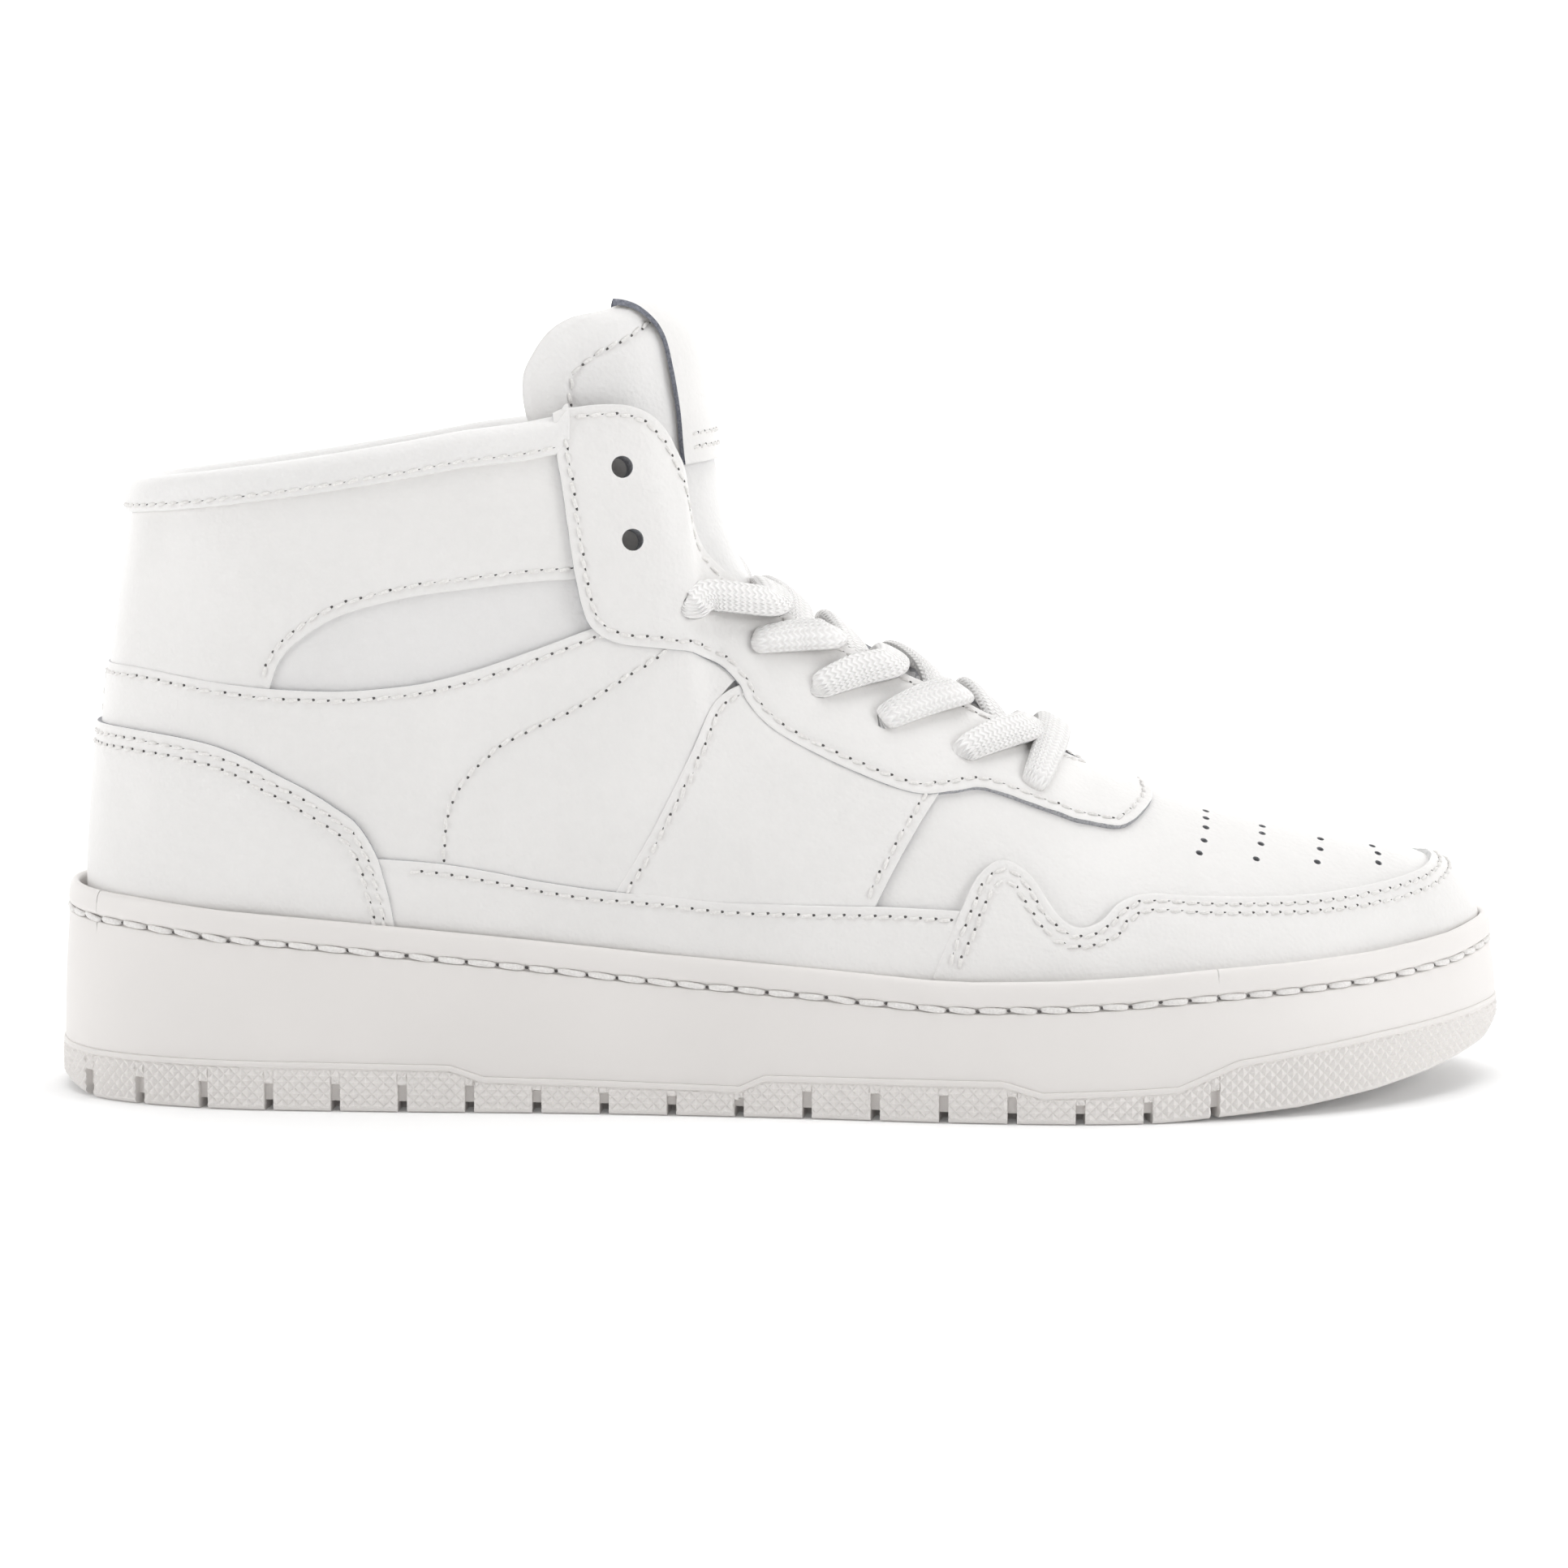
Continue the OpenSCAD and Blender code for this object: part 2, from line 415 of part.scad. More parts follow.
module tongue_label_strip() {
  st = [5.95, 6.4, 7, 7.5, 8, 8.5, 9, 9.6, 10.2, 10.8, 11.4];
  cols = 6;
  n = cols + 1;
  rows = len(st) - 1;
  pts = [for (d = [1.6, 0.4]) for (i = [0:rows]) for (j = [0:cols])
    tongue_spot((2 * j / cols - 1) * label_half / spine_at(st[i])[2], st[i], d)];
  in = (rows + 1) * n;
  polyhedron(pts, [
    for (i = [0:rows - 1]) for (j = [0:cols - 1]) let(a = i * n + j, b = a + 1, c = b + n, d = a + n)
      each [[a, c, b], [a, d, c], [in + a, in + b, in + c], [in + a, in + c, in + d]],
    for (j = [0:cols - 1]) each let(a = j, b = j + 1) [[a, b, in + b], [a, in + b, in + a]],
    for (j = [0:cols - 1]) each let(a = rows * n + j, b = a + 1)
      [[a, in + b, b], [a, in + a, in + b]],
    for (i = [0:rows - 1]) each let(a = i * n, d = a + n) [[a, in + a, in + d], [a, in + d, d]],
    for (i = [0:rows - 1]) each let(a = i * n + cols, d = a + n)
      [[a, in + d, in + a], [a, d, in + d]]]);
}

// ---- lace: one flat cord, crossed over the tongue through the six lower rows ----
// rows count from the top; the two upper ones stay empty
function eye(k, side, d) = spot(side * eyelets[k].x, eye_v(k), d);
// up from inside through an eyelet, over the edge of its eyestay, then under the edge of the
// other eyestay, where the next eyelet down takes it in from inside
function crossing(k, side, lift) = let(c = eyelets[k].x, e = eyelets[k + 1].x,
    over = c + (side > 0 ? 0.55 : 0.1) + (k == 2 ? 0.85 : 0), v = eye_v(k),
    m = spot(side * (c + over) / 2, (v + 0.98) / 2, 3.2),
    a = spot(side * over, 0.98, 3.2), b = spot(-side * e, 0.98, -5.6))
  [[eye(k, side, -5), 3.2], [eye(k, side, -1), 3.2], [eye(k, side, 2.7), 5.5], [m, lace_w],
   [a, lace_w], [(a + b) / 2 + [0.5, 0, 1] * lift, lace_w], [b, lace_w]];
// one half: its end tucked down inside the quarter, the crossings, and out of the lowest eyelet
function half(side, lift) = concat([[spot(side * 6.5, 0.56, -6), 4], [spot(side * 6.8, 0.66, -6), 6]],
  [for (i = [0:4]) each crossing(2 + i, i % 2 == 0 ? side : -side, lift)],
  [[eye(7, -side, -5), 3.2], [eye(7, -side, -1), 3.2], [eye(7, -side, 2.9), 6],
   [spot(-side * 11.05, 0.98, 2.9), lace_w]]);
first_half = half(1, 7);
second_half = half(-1, 4.5);
bar_mid = (first_half[len(first_half) - 1][0] + second_half[len(second_half) - 1][0]) / 2;
path = concat(first_half, [[bar_mid + [0.5, 0, 1] * 1.5, lace_w]],
  [for (i = [len(second_half) - 1:-1:0]) second_half[i]]);
function path_at(i, f) = let(n = len(path), a = path[max(i - 1, 0)], b = path[i],
    c = path[min(i + 1, n - 1)], d = path[min(i + 2, n - 1)])
  [spline(a[0], b[0], c[0], d[0], f), b[1] + (c[1] - b[1]) * f];
cord = [for (i = [0:len(path) - 2]) for (f = [0, 0.5]) path_at(i, f), path[len(path) - 1]];
module lace() color(white) {
  n = len(cord);
  // across the cord, held close to the shoe's length so the flat side faces out
  frames = [for (i = [0:n - 1]) let(t = unit(cord[min(i + 1, n - 1)][0] - cord[max(i - 1, 0)][0]),
      o = unit([0.45, cord[i][0].y / 26, 0.8]), s = unit(cross(t, o)), u = unit(cross(s, t)))
    [s, u]];
  pts = [for (i = [0:n - 1]) let(p = cord[i][0], w = cord[i][1] / 2, h = lace_t / 2,
      s = frames[i][0], u = frames[i][1]) each [p + s * w + u * h, p - s * w + u * h,
      p - s * w - u * h, p + s * w - u * h]];
  e = (n - 1) * 4;
  polyhedron(pts, concat([[0, 1, 2], [0, 2, 3], [e + 2, e + 1, e], [e + 3, e + 2, e]],
    [for (i = [0:n - 2]) for (k = [0:3]) let(a = i * 4 + k, b = i * 4 + (k + 1) % 4)
      each [[a, a + 4, b + 4], [a, b + 4, b]]]));
}
module lace_tips() color(textile) for (q = [path[0][0], path[len(path) - 1][0]])
  translate(q + [0, 0, -17]) cylinder(d = 2.6, h = 15, $fn = 12);

outsole();
cupsole();
sidewall_stitching();
midsole_foam();
lasting_board();
sockliner();
lining();
collar_foam();
toe_puff();
heel_counter();
interlining_heel();
interlining_lateral();
interlining_medial();
interlining_toe();
quarter_base();
vamp();
toe_overlay();
heel_overlay();
quarter_band_lateral();
quarter_band_medial();
collar_panel();
front_quarter_lateral();
front_quarter_medial();
foxing_lateral();
foxing_medial();
eyestay_lateral();
eyestay_medial();
collar_binding();
tongue_leather();
tongue_padding();
tongue_lining();
tongue_top_leather();
tongue_top_padding();
tongue_top_lining();
tongue_label();
lace();
lace_tips();
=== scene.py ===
"""White basketball high top, right shoe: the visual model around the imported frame. Lengths in mm."""
import math

import bmesh
import bpy
import numpy as np
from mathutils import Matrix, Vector
from mathutils.bvhtree import BVHTree


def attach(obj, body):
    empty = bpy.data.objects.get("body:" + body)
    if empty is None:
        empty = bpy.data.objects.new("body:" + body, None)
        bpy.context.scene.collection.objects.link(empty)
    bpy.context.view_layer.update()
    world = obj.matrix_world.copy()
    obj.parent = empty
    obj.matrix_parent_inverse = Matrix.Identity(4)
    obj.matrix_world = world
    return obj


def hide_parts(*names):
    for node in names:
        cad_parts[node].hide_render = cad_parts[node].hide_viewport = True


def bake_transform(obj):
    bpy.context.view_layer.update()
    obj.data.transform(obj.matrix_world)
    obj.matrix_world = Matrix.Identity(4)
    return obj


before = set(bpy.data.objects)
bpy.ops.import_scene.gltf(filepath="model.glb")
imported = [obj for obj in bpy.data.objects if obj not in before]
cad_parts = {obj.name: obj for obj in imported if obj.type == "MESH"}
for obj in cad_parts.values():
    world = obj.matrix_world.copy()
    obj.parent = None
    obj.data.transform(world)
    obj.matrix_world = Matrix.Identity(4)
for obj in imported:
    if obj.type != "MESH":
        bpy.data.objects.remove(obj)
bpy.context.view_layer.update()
MM = 0.001
SHOE, TOP = "shoe", "tongue_top"
rng = np.random.default_rng(11)

# ---------------------------------------------------------------- camera
CAM_BACK, CAM_UP, CAM_TILT, LENS = 900, 166, 6.6, 100.2
cam_data = bpy.data.cameras.new("camera")
cam_data.lens, cam_data.sensor_width = LENS, 36
cam_data.clip_start, cam_data.clip_end = 0.05, 20
cam = bpy.data.objects.new("camera", cam_data)
bpy.context.scene.collection.objects.link(cam)
cam.location = (0, -CAM_BACK * MM, CAM_UP * MM)
cam.rotation_euler = (math.radians(90 - CAM_TILT), 0, 0)
bpy.context.scene.camera = cam


# ---------------------------------------------------------------- materials
class Mat:
    """A node material with a few shorthands."""

    def __init__(self, name, color, rough, **sockets):
        self.mat = bpy.data.materials.new(name)
        self.mat.use_nodes = True
        self.t = self.mat.node_tree
        self.b = self.t.nodes["Principled BSDF"]
        self.b.inputs["Base Color"].default_value = (*color, 1)
        self.b.inputs["Roughness"].default_value = rough
        for key, value in sockets.items():
            self.b.inputs[key.replace("_", " ")].default_value = value
        self.coord = self.t.nodes.new("ShaderNodeTexCoord")

    def node(self, kind, inputs=(), **props):
        n = self.t.nodes.new("ShaderNode" + kind)
        for key, value in props.items():
            setattr(n, key, value)
        for key, value in dict(inputs).items():
            if hasattr(value, "is_output"):
                self.t.links.new(value, n.inputs[key])
            else:
                n.inputs[key].default_value = value
        return n

    def noise(self, scale, detail=3, rough=0.5, at="Object"):
        return self.node("TexNoise", {"Vector": self.coord.outputs[at], "Scale": scale,
                                      "Detail": detail, "Roughness": rough}).outputs["Fac"]

    def cells(self, scale, feature="F1", at="Object", smooth=0.4):
        n = self.node("TexVoronoi", {"Vector": self.coord.outputs[at], "Scale": scale},
                      feature="SMOOTH_F1" if feature == "F1" else feature)
        if feature == "F1":
            n.inputs["Smoothness"].default_value = smooth
        return n.outputs["Distance"]

    def math(self, op, a, b=0.0, c=0.0):
        return self.node("Math", {0: a, 1: b, 2: c}, operation=op).outputs[0]

    def ramp(self, fac, stops):
        n = self.node("ValToRGB", {"Fac": fac})
        for k, (pos, col) in enumerate(stops):
            e = n.color_ramp.elements[k] if k < 2 else n.color_ramp.elements.new(pos)
            e.position, e.color = pos, (*col, 1)
        return n.outputs["Color"]

    def color(self, out):
        self.t.links.new(out, self.b.inputs["Base Color"])

    def rough(self, out):
        self.t.links.new(out, self.b.inputs["Roughness"])

    def bump(self, *layers):
        """layers: (height output, distance in mm, strength), stacked."""
        last = None
        for height, dist, strength in layers:
            n = self.node("Bump", {"Height": height, "Distance": dist * MM, "Strength": strength})
            if last:
                self.t.links.new(last, n.inputs["Normal"])
            last = n.outputs["Normal"]
        self.t.links.new(last, self.b.inputs["Normal"])


def mix_pair(fac_low, fac_high, a, b):
    return [(fac_low, a), (fac_high, b)]


def leather(name, tint, grain=1.0):
    m = Mat(name, tint, 0.46, Specular_IOR_Level=0.42)
    broad, mid = m.noise(28, 3), m.noise(420, 4, 0.6)
    dark = tuple(c * 0.955 for c in tint)
    m.color(m.ramp(m.math("ADD", m.math("MULTIPLY", broad, 0.7), m.math("MULTIPLY", mid, 0.3)),
                   mix_pair(0.36, 0.62, dark, tint)))
    m.rough(m.math("MULTIPLY_ADD", mid, 0.2, 0.36))
    m.bump((broad, 0.9, 0.35), (m.cells(1050), 0.16 * grain, 0.5),
           (m.noise(2600, 3, 0.6), 0.09 * grain, 0.55), (m.noise(260, 4, 0.6), 0.28, 0.35))
    return m.mat


LEATHER = leather("leather_overlay", (0.80, 0.788, 0.775))
LEATHER_BASE = leather("leather_base", (0.765, 0.755, 0.748), 1.1)
LEATHER_SOFT = leather("leather_tongue", (0.80, 0.79, 0.78), 1.2)


def speckled(name, tint, rough, noise, stops, bump=None, cells=None, **sockets):
    """A stuff whose colour and height follow one noise, with cells of its own where they are given."""
    m = Mat(name, tint, rough, **sockets)
    f = m.noise(*noise)
    m.color(m.ramp(f, mix_pair(*stops)))
    layers = [(f, *bump)] if bump else []
    if cells:
        layers.append((m.cells(cells[0]), *cells[1:]))
    if layers:
        m.bump(*layers)
    return m.mat


# cut sides of the leather and walls of the drilled holes: a grey cut edge, made darker as painted shade for
# the shadow line along each step and inside the holes
CUT_EDGE_AND_SHADE = speckled("cut_edge", (0.36, 0.37, 0.40), 0.9, (1900, 5, 0.7),
               (0.3, 0.75, (0.22, 0.225, 0.245), (0.60, 0.60, 0.62)), (0.35, 0.8), (1500, 0.2, 0.6))
# the label's cut edge: near black, partly painted shade for the shadow under the strip's edge
DARK_EDGE_AND_SHADE = speckled("cut_edge_dark", (0.17, 0.18, 0.215), 0.9, (1900, 5, 0.7),
                    (0.3, 0.75, (0.10, 0.11, 0.14), (0.36, 0.37, 0.42)), (0.3, 0.8))
EDGE = speckled("painted_edge", (0.66, 0.655, 0.65), 0.75, (1500, 5, 0.7),
                (0.3, 0.7, (0.55, 0.55, 0.555), (0.76, 0.755, 0.75)), (0.25, 0.7))
THREAD = speckled("thread", (0.80, 0.77, 0.735), 0.62, (2300, 3),
                  (0.3, 0.7, (0.71, 0.69, 0.67), (0.84, 0.825, 0.81)), (0.12, 0.8), Sheen_Weight=0.15)
# painted shade: dark discs for the needle holes at the stitch ends
NEEDLE_HOLE_SHADE = speckled("needle_hole", (0.1, 0.095, 0.095), 0.9, (1800, 2),
                (0.3, 0.7, (0.05, 0.047, 0.047), (0.15, 0.143, 0.14)))
TIP = speckled("lace_tip", (0.75, 0.75, 0.75), 0.3, (300, 3),
               (0.3, 0.7, (0.6375, 0.6375, 0.6375), (0.75, 0.75, 0.75)), (0.1, 0.5))
FOAM = speckled("foam", (0.6, 0.6, 0.58), 0.9, (800, 3),
                (0.3, 0.7, (0.51, 0.51, 0.493), (0.6, 0.6, 0.58)), (0.1, 0.5))


def rubber(name, tint, rough=0.5):
    m = Mat(name, tint, rough, Specular_IOR_Level=0.45)
    broad = m.noise(22, 2)
    fine = m.noise(1700, 4, 0.6)
    m.color(m.ramp(broad, mix_pair(0.35, 0.65, tuple(c * 0.965 for c in tint), tint)))
    m.rough(m.math("MULTIPLY_ADD", fine, 0.16, rough - 0.08))
    m.bump((broad, 0.5, 0.3), (fine, 0.045, 0.5))
    return m.mat


RUBBER = rubber("rubber_cup", (0.775, 0.75, 0.73))
RUBBER_RIM = rubber("rubber_rim", (0.75, 0.725, 0.705), 0.55)


def rubber_tread():
    m = Mat("rubber_tread", (0.74, 0.715, 0.695), 0.6)
    sep = m.node("SeparateXYZ", {0: m.coord.outputs["Object"]})
    x, y = sep.outputs[0], sep.outputs[1]
    # herringbone ribs: a zigzag across the sole, repeated along it
    zig = m.math("PINGPONG", y, 0.006)
    rib = m.math("SINE", m.math("MULTIPLY", m.math("ADD", x, zig), 2 * math.pi / 0.0062))
    fine = m.noise(900, 3)
    # painted shade: the grooves between the ribs are coloured darker than the rib tops
    m.color(m.ramp(rib, mix_pair(0.0, 0.35, (0.60, 0.58, 0.565), (0.75, 0.725, 0.70))))
    m.bump((m.math("MINIMUM", m.math("MAXIMUM", rib, -0.4), 0.4), 1.6, 1.0), (fine, 0.1, 0.4))
    return m.mat


def textile():
    m = Mat("textile_lining", (0.72, 0.715, 0.71), 0.85, Sheen_Weight=0.25)
    k = 2 * math.pi / 0.0011
    sep = m.node("SeparateXYZ", {0: m.coord.outputs["Object"]})
    a = m.math("SINE", m.math("MULTIPLY", m.math("ADD", sep.outputs[0], sep.outputs[1]), k))
    b = m.math("SINE", m.math("MULTIPLY", sep.outputs[2], k))
    weave = m.math("MULTIPLY", a, b)
    m.color(m.ramp(m.math("MULTIPLY_ADD", weave, 0.25, m.noise(45, 3)),
                   mix_pair(0.25, 0.8, (0.62, 0.615, 0.61), (0.74, 0.735, 0.73))))
    m.bump((weave, 0.16, 0.7), (m.noise(1400, 3), 0.1, 0.5))
    return m.mat


def cotton_lace():
    m = Mat("lace_cotton", (0.88, 0.87, 0.855), 0.8, Sheen_Weight=0.3)
    uv = m.node("SeparateXYZ", {0: m.coord.outputs["UV"]})
    u, v = uv.outputs[0], uv.outputs[1]
    # u runs along the lace and v across it, both in mm: a braid of small slanted loops
    vee = m.math("PINGPONG", v, 0.62)
    lean = m.math("ADD", u, m.math("MULTIPLY", vee, 1.1))
    loop = m.math("SINE", m.math("MULTIPLY", lean, 2 * math.pi / 1.3))
    line = m.math("ABSOLUTE", m.math("SINE", m.math("MULTIPLY", v, math.pi / 1.24)))
    h = m.math("MULTIPLY_ADD", loop, 0.45, m.math("MULTIPLY", line, 0.6))
    # painted shade: the hollows between the loops and the lines between the strands are coloured darker
    m.color(m.ramp(h, mix_pair(0.0, 0.8, (0.79, 0.775, 0.765), (0.90, 0.89, 0.88))))
    m.bump((h, 0.28, 0.8), (m.noise(2600, 3), 0.06, 0.5))
    return m.mat


TREAD, TEXTILE, LACE = rubber_tread(), textile(), cotton_lace()


# ---------------------------------------------------------------- the upper as a surface
# foot x, lateral y, medial y, z | top x, lateral y, medial y, z | pull at the foot | pull at the top
WALL = np.array([
    (-142.5, 0, 0, 26, -132.5, 0, 0, 125, -1.7, 0, 30, -4, 0, -25),
    (-137, -17, 16.5, 26, -127.5, -16, 16, 125.6, -1.5, 1.5, 30, -3.5, 1.5, -25),
    (-122, -26, 25, 26, -113.5, -26, 26, 127.2, -0.5, 2.5, 30, -1, 2.5, -28),
    (-97, -30.5, 28.5, 25.5, -90, -31, 31, 130.5, 0, 3.5, 30, 0, 3, -30),
    (-70, -32.5, 28.5, 24, -65, -31, 31, 135, 0, 4.5, 30, 0, 3.5, -30),
    (-47, -33.5, 28, 21.5, -45.5, -30.5, 30.5, 140, 0, 5, 30, 1, 4, -32),
    (-32, -34.5, 28, 20, -30, -27, 27.5, 140.3, 0, 6, 30, 1, 5, -34),
    (-19, -36, 29, 18.5, -22.5, -23, 23.5, 131, 0, 6.5, 28, 2, 7, -30),
    (-6, -37.5, 29.5, 17.5, -17, -19, 19.5, 111, 0, 7, 25, 2, 11, -22),
    (11, -40, 31.2, 16.5, 6, -16, 16.5, 94, 0, 7, 22, 1, 15, -15),
    (31, -43, 35, 15.5, 31, -13, 13.5, 81.5, 0, 6.5, 20, 1, 18.5, -11),
    (50, -44.5, 39.5, 15, 52, -9, 9.5, 70.5, 0, 6, 18, 1, 21, -7.5),
    (66, -45.5, 43, 15.5, 62, 0, 0, 65, 0, 6, 17, 2, 24, -1),
    (84, -42.5, 46, 16, 78, 0, 0, 59.8, 0.5, 6, 16, 2, 23, -0.5),
    (104, -35, 45.5, 18, 93, 0.5, 0.5, 55.7, 1, 5.5, 16, 5, 19, -0.8),
    (122, -22.5, 39.5, 20.5, 105, 1.5, 1.5, 52.8, 2.5, 5, 16, 14, 15, -1.2),
    (136, -7, 27, 23, 113, 2.5, 2.5, 51, 3.5, 2.5, 16.5, 19, 11, -1.8),
    (143, 9, 9, 24, 118, 3, 3, 49.8, 4, 0.5, 17, 19, 1, -2.5)])
NW = len(WALL) - 1
CROWN = 12


def bow(k):
    med = k > NW
    i = 2 * NW - k if med else k
    w = WALL[i]
    s = 1 if (med or i in (0, NW)) else -1
    f = np.array([w[0], w[2] if med else w[1], w[3]])
    t = np.array([w[4], w[6] if med else w[5], w[7]])
    return [f, f + [w[8], s * w[9], w[10]], t + [w[11], s * w[12], w[13]], t]


BOWS = np.array([bow(k) for k in range(2 * NW)])


def spline(a, b, c, d, f):
    return 0.5 * (2 * b + (c - a) * f + (2 * a - 5 * b + 4 * c - d) * f * f
                  + (3 * b - a - 3 * c + d) * f ** 3)


def bow_mix(c, rows=slice(None)):
    k = np.floor(c).astype(int)
    f = (c - k)[..., None, None]
    n = 2 * NW
    return spline(*[BOWS[(k + j) % n][..., rows, :] for j in (-1, 0, 1, 2)], f)


def skin(c, v):
    c = np.mod(np.asarray(c, float), 2 * NW)
    v = np.asarray(v, float)[..., None]
    q = bow_mix(c)
    crown = (c >= CROWN) & (c <= 2 * NW - CROWN)
    far = bow_mix(2 * NW - c, slice(3, 4))[..., 0, :]
    q[..., 3, :] = np.where(crown[..., None], (q[..., 3, :] + far) / 2, q[..., 3, :])
    w = 1 - v
    return (q[..., 0, :] * w ** 3 + q[..., 1, :] * 3 * w * w * v + q[..., 2, :] * 3 * w * v * v +
            q[..., 3, :] * v ** 3)


def unit(a):
    return a / np.maximum(np.linalg.norm(a, axis=-1, keepdims=True), 1e-9)


def facing(c, v, e=0.006):
    u = np.clip(np.asarray(v, float), e, 1 - e)
    c = np.asarray(c, float)
    n = unit(np.cross(skin(c + e, u) - skin(c - e, u), skin(c, u + e) - skin(c, u - e)))
    m = np.mod(c, 2 * NW)
    on = (np.asarray(v) > 0.985) & (m >= CROWN) & (m <= 2 * NW - CROWN)
    if np.any(on):
        o = 2 * NW - m
        twin = unit(np.cross(skin(o + e, u) - skin(o - e, u), skin(o, u + e) - skin(o, u - e)))
        k = np.clip((np.asarray(v) - 0.985) / 0.015, 0, 1)[..., None] * 0.5
        n = np.where(on[..., None], unit(n * (1 - k) + twin * k), n)
    return n


def spot(c, v, d):
    return skin(c, v) + facing(c, v) * np.asarray(d, float)[..., None]


def share(c, z):
    c, z = np.asarray(c, float), np.asarray(z, float)
    lo, hi = np.zeros_like(c), np.ones_like(c)
    for _ in range(16):
        mid = (lo + hi) / 2
        under = skin(c, mid)[..., 2] < z
        lo, hi = np.where(under, mid, lo), np.where(under, hi, mid)
    return (lo + hi) / 2


def at_z(pts):
    p = np.array(pts, float)
    return np.stack([p[:, 0], share(p[:, 0], p[:, 1])], 1)


def medial(p):
    q = p[::-1].copy()
    q[:, 0] *= -1
    return q


def both_sides(p):
    return np.concatenate([medial(p), p[1:]])


def over_toe(p):
    q = p[-2::-1].copy()
    q[:, 0] = 2 * NW - q[:, 0]
    return np.concatenate([p, q])


def curve_through(pts, t):
    """Catmull-Rom through the points, t counted in points."""
    p = np.asarray(pts, float)
    n = len(p)
    k = np.clip(np.floor(t).astype(int), 0, n - 2)
    f = (t - k)[:, None]
    return spline(*[p[np.clip(k + j, 0, n - 1)] for j in (-1, 0, 1, 2)], f)


# ---------------------------------------------------------------- mesh helpers
def quads(nu, nv, base=0, flip=False):
    i, j = np.meshgrid(np.arange(nu - 1), np.arange(nv - 1), indexing="ij")
    a = base + i * nv + j
    q = np.stack([a, a + nv, a + nv + 1, a + 1], -1).reshape(-1, 4)
    return q[:, ::-1] if flip else q


def strip(a, b):
    """Quads between two equally long vertex rows."""
    a, b = np.asarray(a), np.asarray(b)
    return np.stack([a[:-1], a[1:], b[1:], b[:-1]], -1)


def shell_faces(nu, nv):
    """Faces of a sheet with a front, a back and a rim, and how many of them are rim."""
    k = nu * nv
    i = np.arange(k).reshape(nu, nv)
    rim = np.concatenate([strip(i[0], i[0] + k), strip(i[-1, ::-1], i[-1, ::-1] + k),
                          strip(i[::-1, 0], i[::-1, 0] + k), strip(i[:, -1], i[:, -1] + k)])
    return np.concatenate([quads(nu, nv), quads(nu, nv, k, True), rim]), len(rim)


def build(name, verts, faces, mats, face_mat=None, body=SHOE, replaces=(), merge=0.0,
          smooth=True, uv=None, keep=True):
    me = bpy.data.meshes.new(name)
    me.from_pydata((np.asarray(verts) * MM).tolist(), [], [list(map(int, f)) for f in faces])
    for m in mats:
        me.materials.append(m)
    if face_mat is not None:
        me.polygons.foreach_set("material_index", np.asarray(face_mat, np.int32))
    if uv is not None:
        layer = me.uv_layers.new(name="UVMap")
        idx = np.zeros(len(me.loops), np.int32)
        me.loops.foreach_get("vertex_index", idx)
        layer.data.foreach_set("uv", np.asarray(uv, np.float32)[idx].ravel())
    if merge:
        bm = bmesh.new()
        bm.from_mesh(me)
        bmesh.ops.remove_doubles(bm, verts=bm.verts, dist=merge * MM)
        bmesh.ops.recalc_face_normals(bm, faces=bm.faces)
        bm.to_mesh(me)
        bm.free()
    me.polygons.foreach_set("use_smooth", np.full(len(me.polygons), smooth))
    me.update()
    ob = bpy.data.objects.new(name, me)
    bpy.context.scene.collection.objects.link(ob)
    if keep:
        finish_piece(ob, body, replaces)
    return ob


def finish_piece(ob, body=SHOE, replaces=()):
    if body:
        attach(ob, body)
    if replaces:
        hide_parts(*replaces)


def cut_holes(ob, centres, axes, radius, mat_index, depth=9.0):
    """Drills round holes and gives their walls a material slot of the piece."""
    verts, faces, n = [], [], 28
    for p, d in zip(centres, axes):
        s = unit(np.cross(d, [0.3, 0.1, 1.0]))
        t = np.cross(d, s)
        base = len(verts)
        for h in (-depth, depth):
            for a in np.linspace(0, 2 * math.pi, n, endpoint=False):
                verts.append(p + d * h + (s * math.cos(a) + t * math.sin(a)) * radius)
        faces += [[base + k, base + (k + 1) % n, base + n + (k + 1) % n, base + n + k] for k in range(n)]
        faces += [[base + k for k in range(n)][::-1], [base + n + k for k in range(n)]]
    tool = build("drill", verts, faces, [], smooth=False, keep=False)
    bm = bmesh.new()
    bm.from_mesh(tool.data)
    bmesh.ops.recalc_face_normals(bm, faces=bm.faces)
    bm.to_mesh(tool.data)
    bm.free()
    mod = ob.modifiers.new("holes", "BOOLEAN")
    mod.operation, mod.solver, mod.object = "DIFFERENCE", "EXACT", tool
    done = bpy.data.meshes.new_from_object(ob.evaluated_get(bpy.context.evaluated_depsgraph_get()))
    ob.modifiers.clear()
    old = ob.data
    ob.data = done
    bpy.data.meshes.remove(old)
    bpy.data.objects.remove(tool)
    mid = np.zeros(len(done.polygons) * 3)
    nor = np.zeros(len(done.polygons) * 3)
    done.polygons.foreach_get("center", mid)
    done.polygons.foreach_get("normal", nor)
    mid, nor = mid.reshape(-1, 3) / MM, nor.reshape(-1, 3)
    idx = np.zeros(len(done.polygons), np.int32)
    done.polygons.foreach_get("material_index", idx)
    for p, d in zip(centres, axes):
        r = mid - p
        along = r @ d
        off = np.linalg.norm(r - along[:, None] * d, axis=1)
        wall = (off < radius * 1.03) & (np.abs(nor @ d) < 0.3) & (np.abs(along) < depth)
        idx[wall] = mat_index
    done.polygons.foreach_set("material_index", idx)


# ---------------------------------------------------------------- stitches
STITCHES = {}


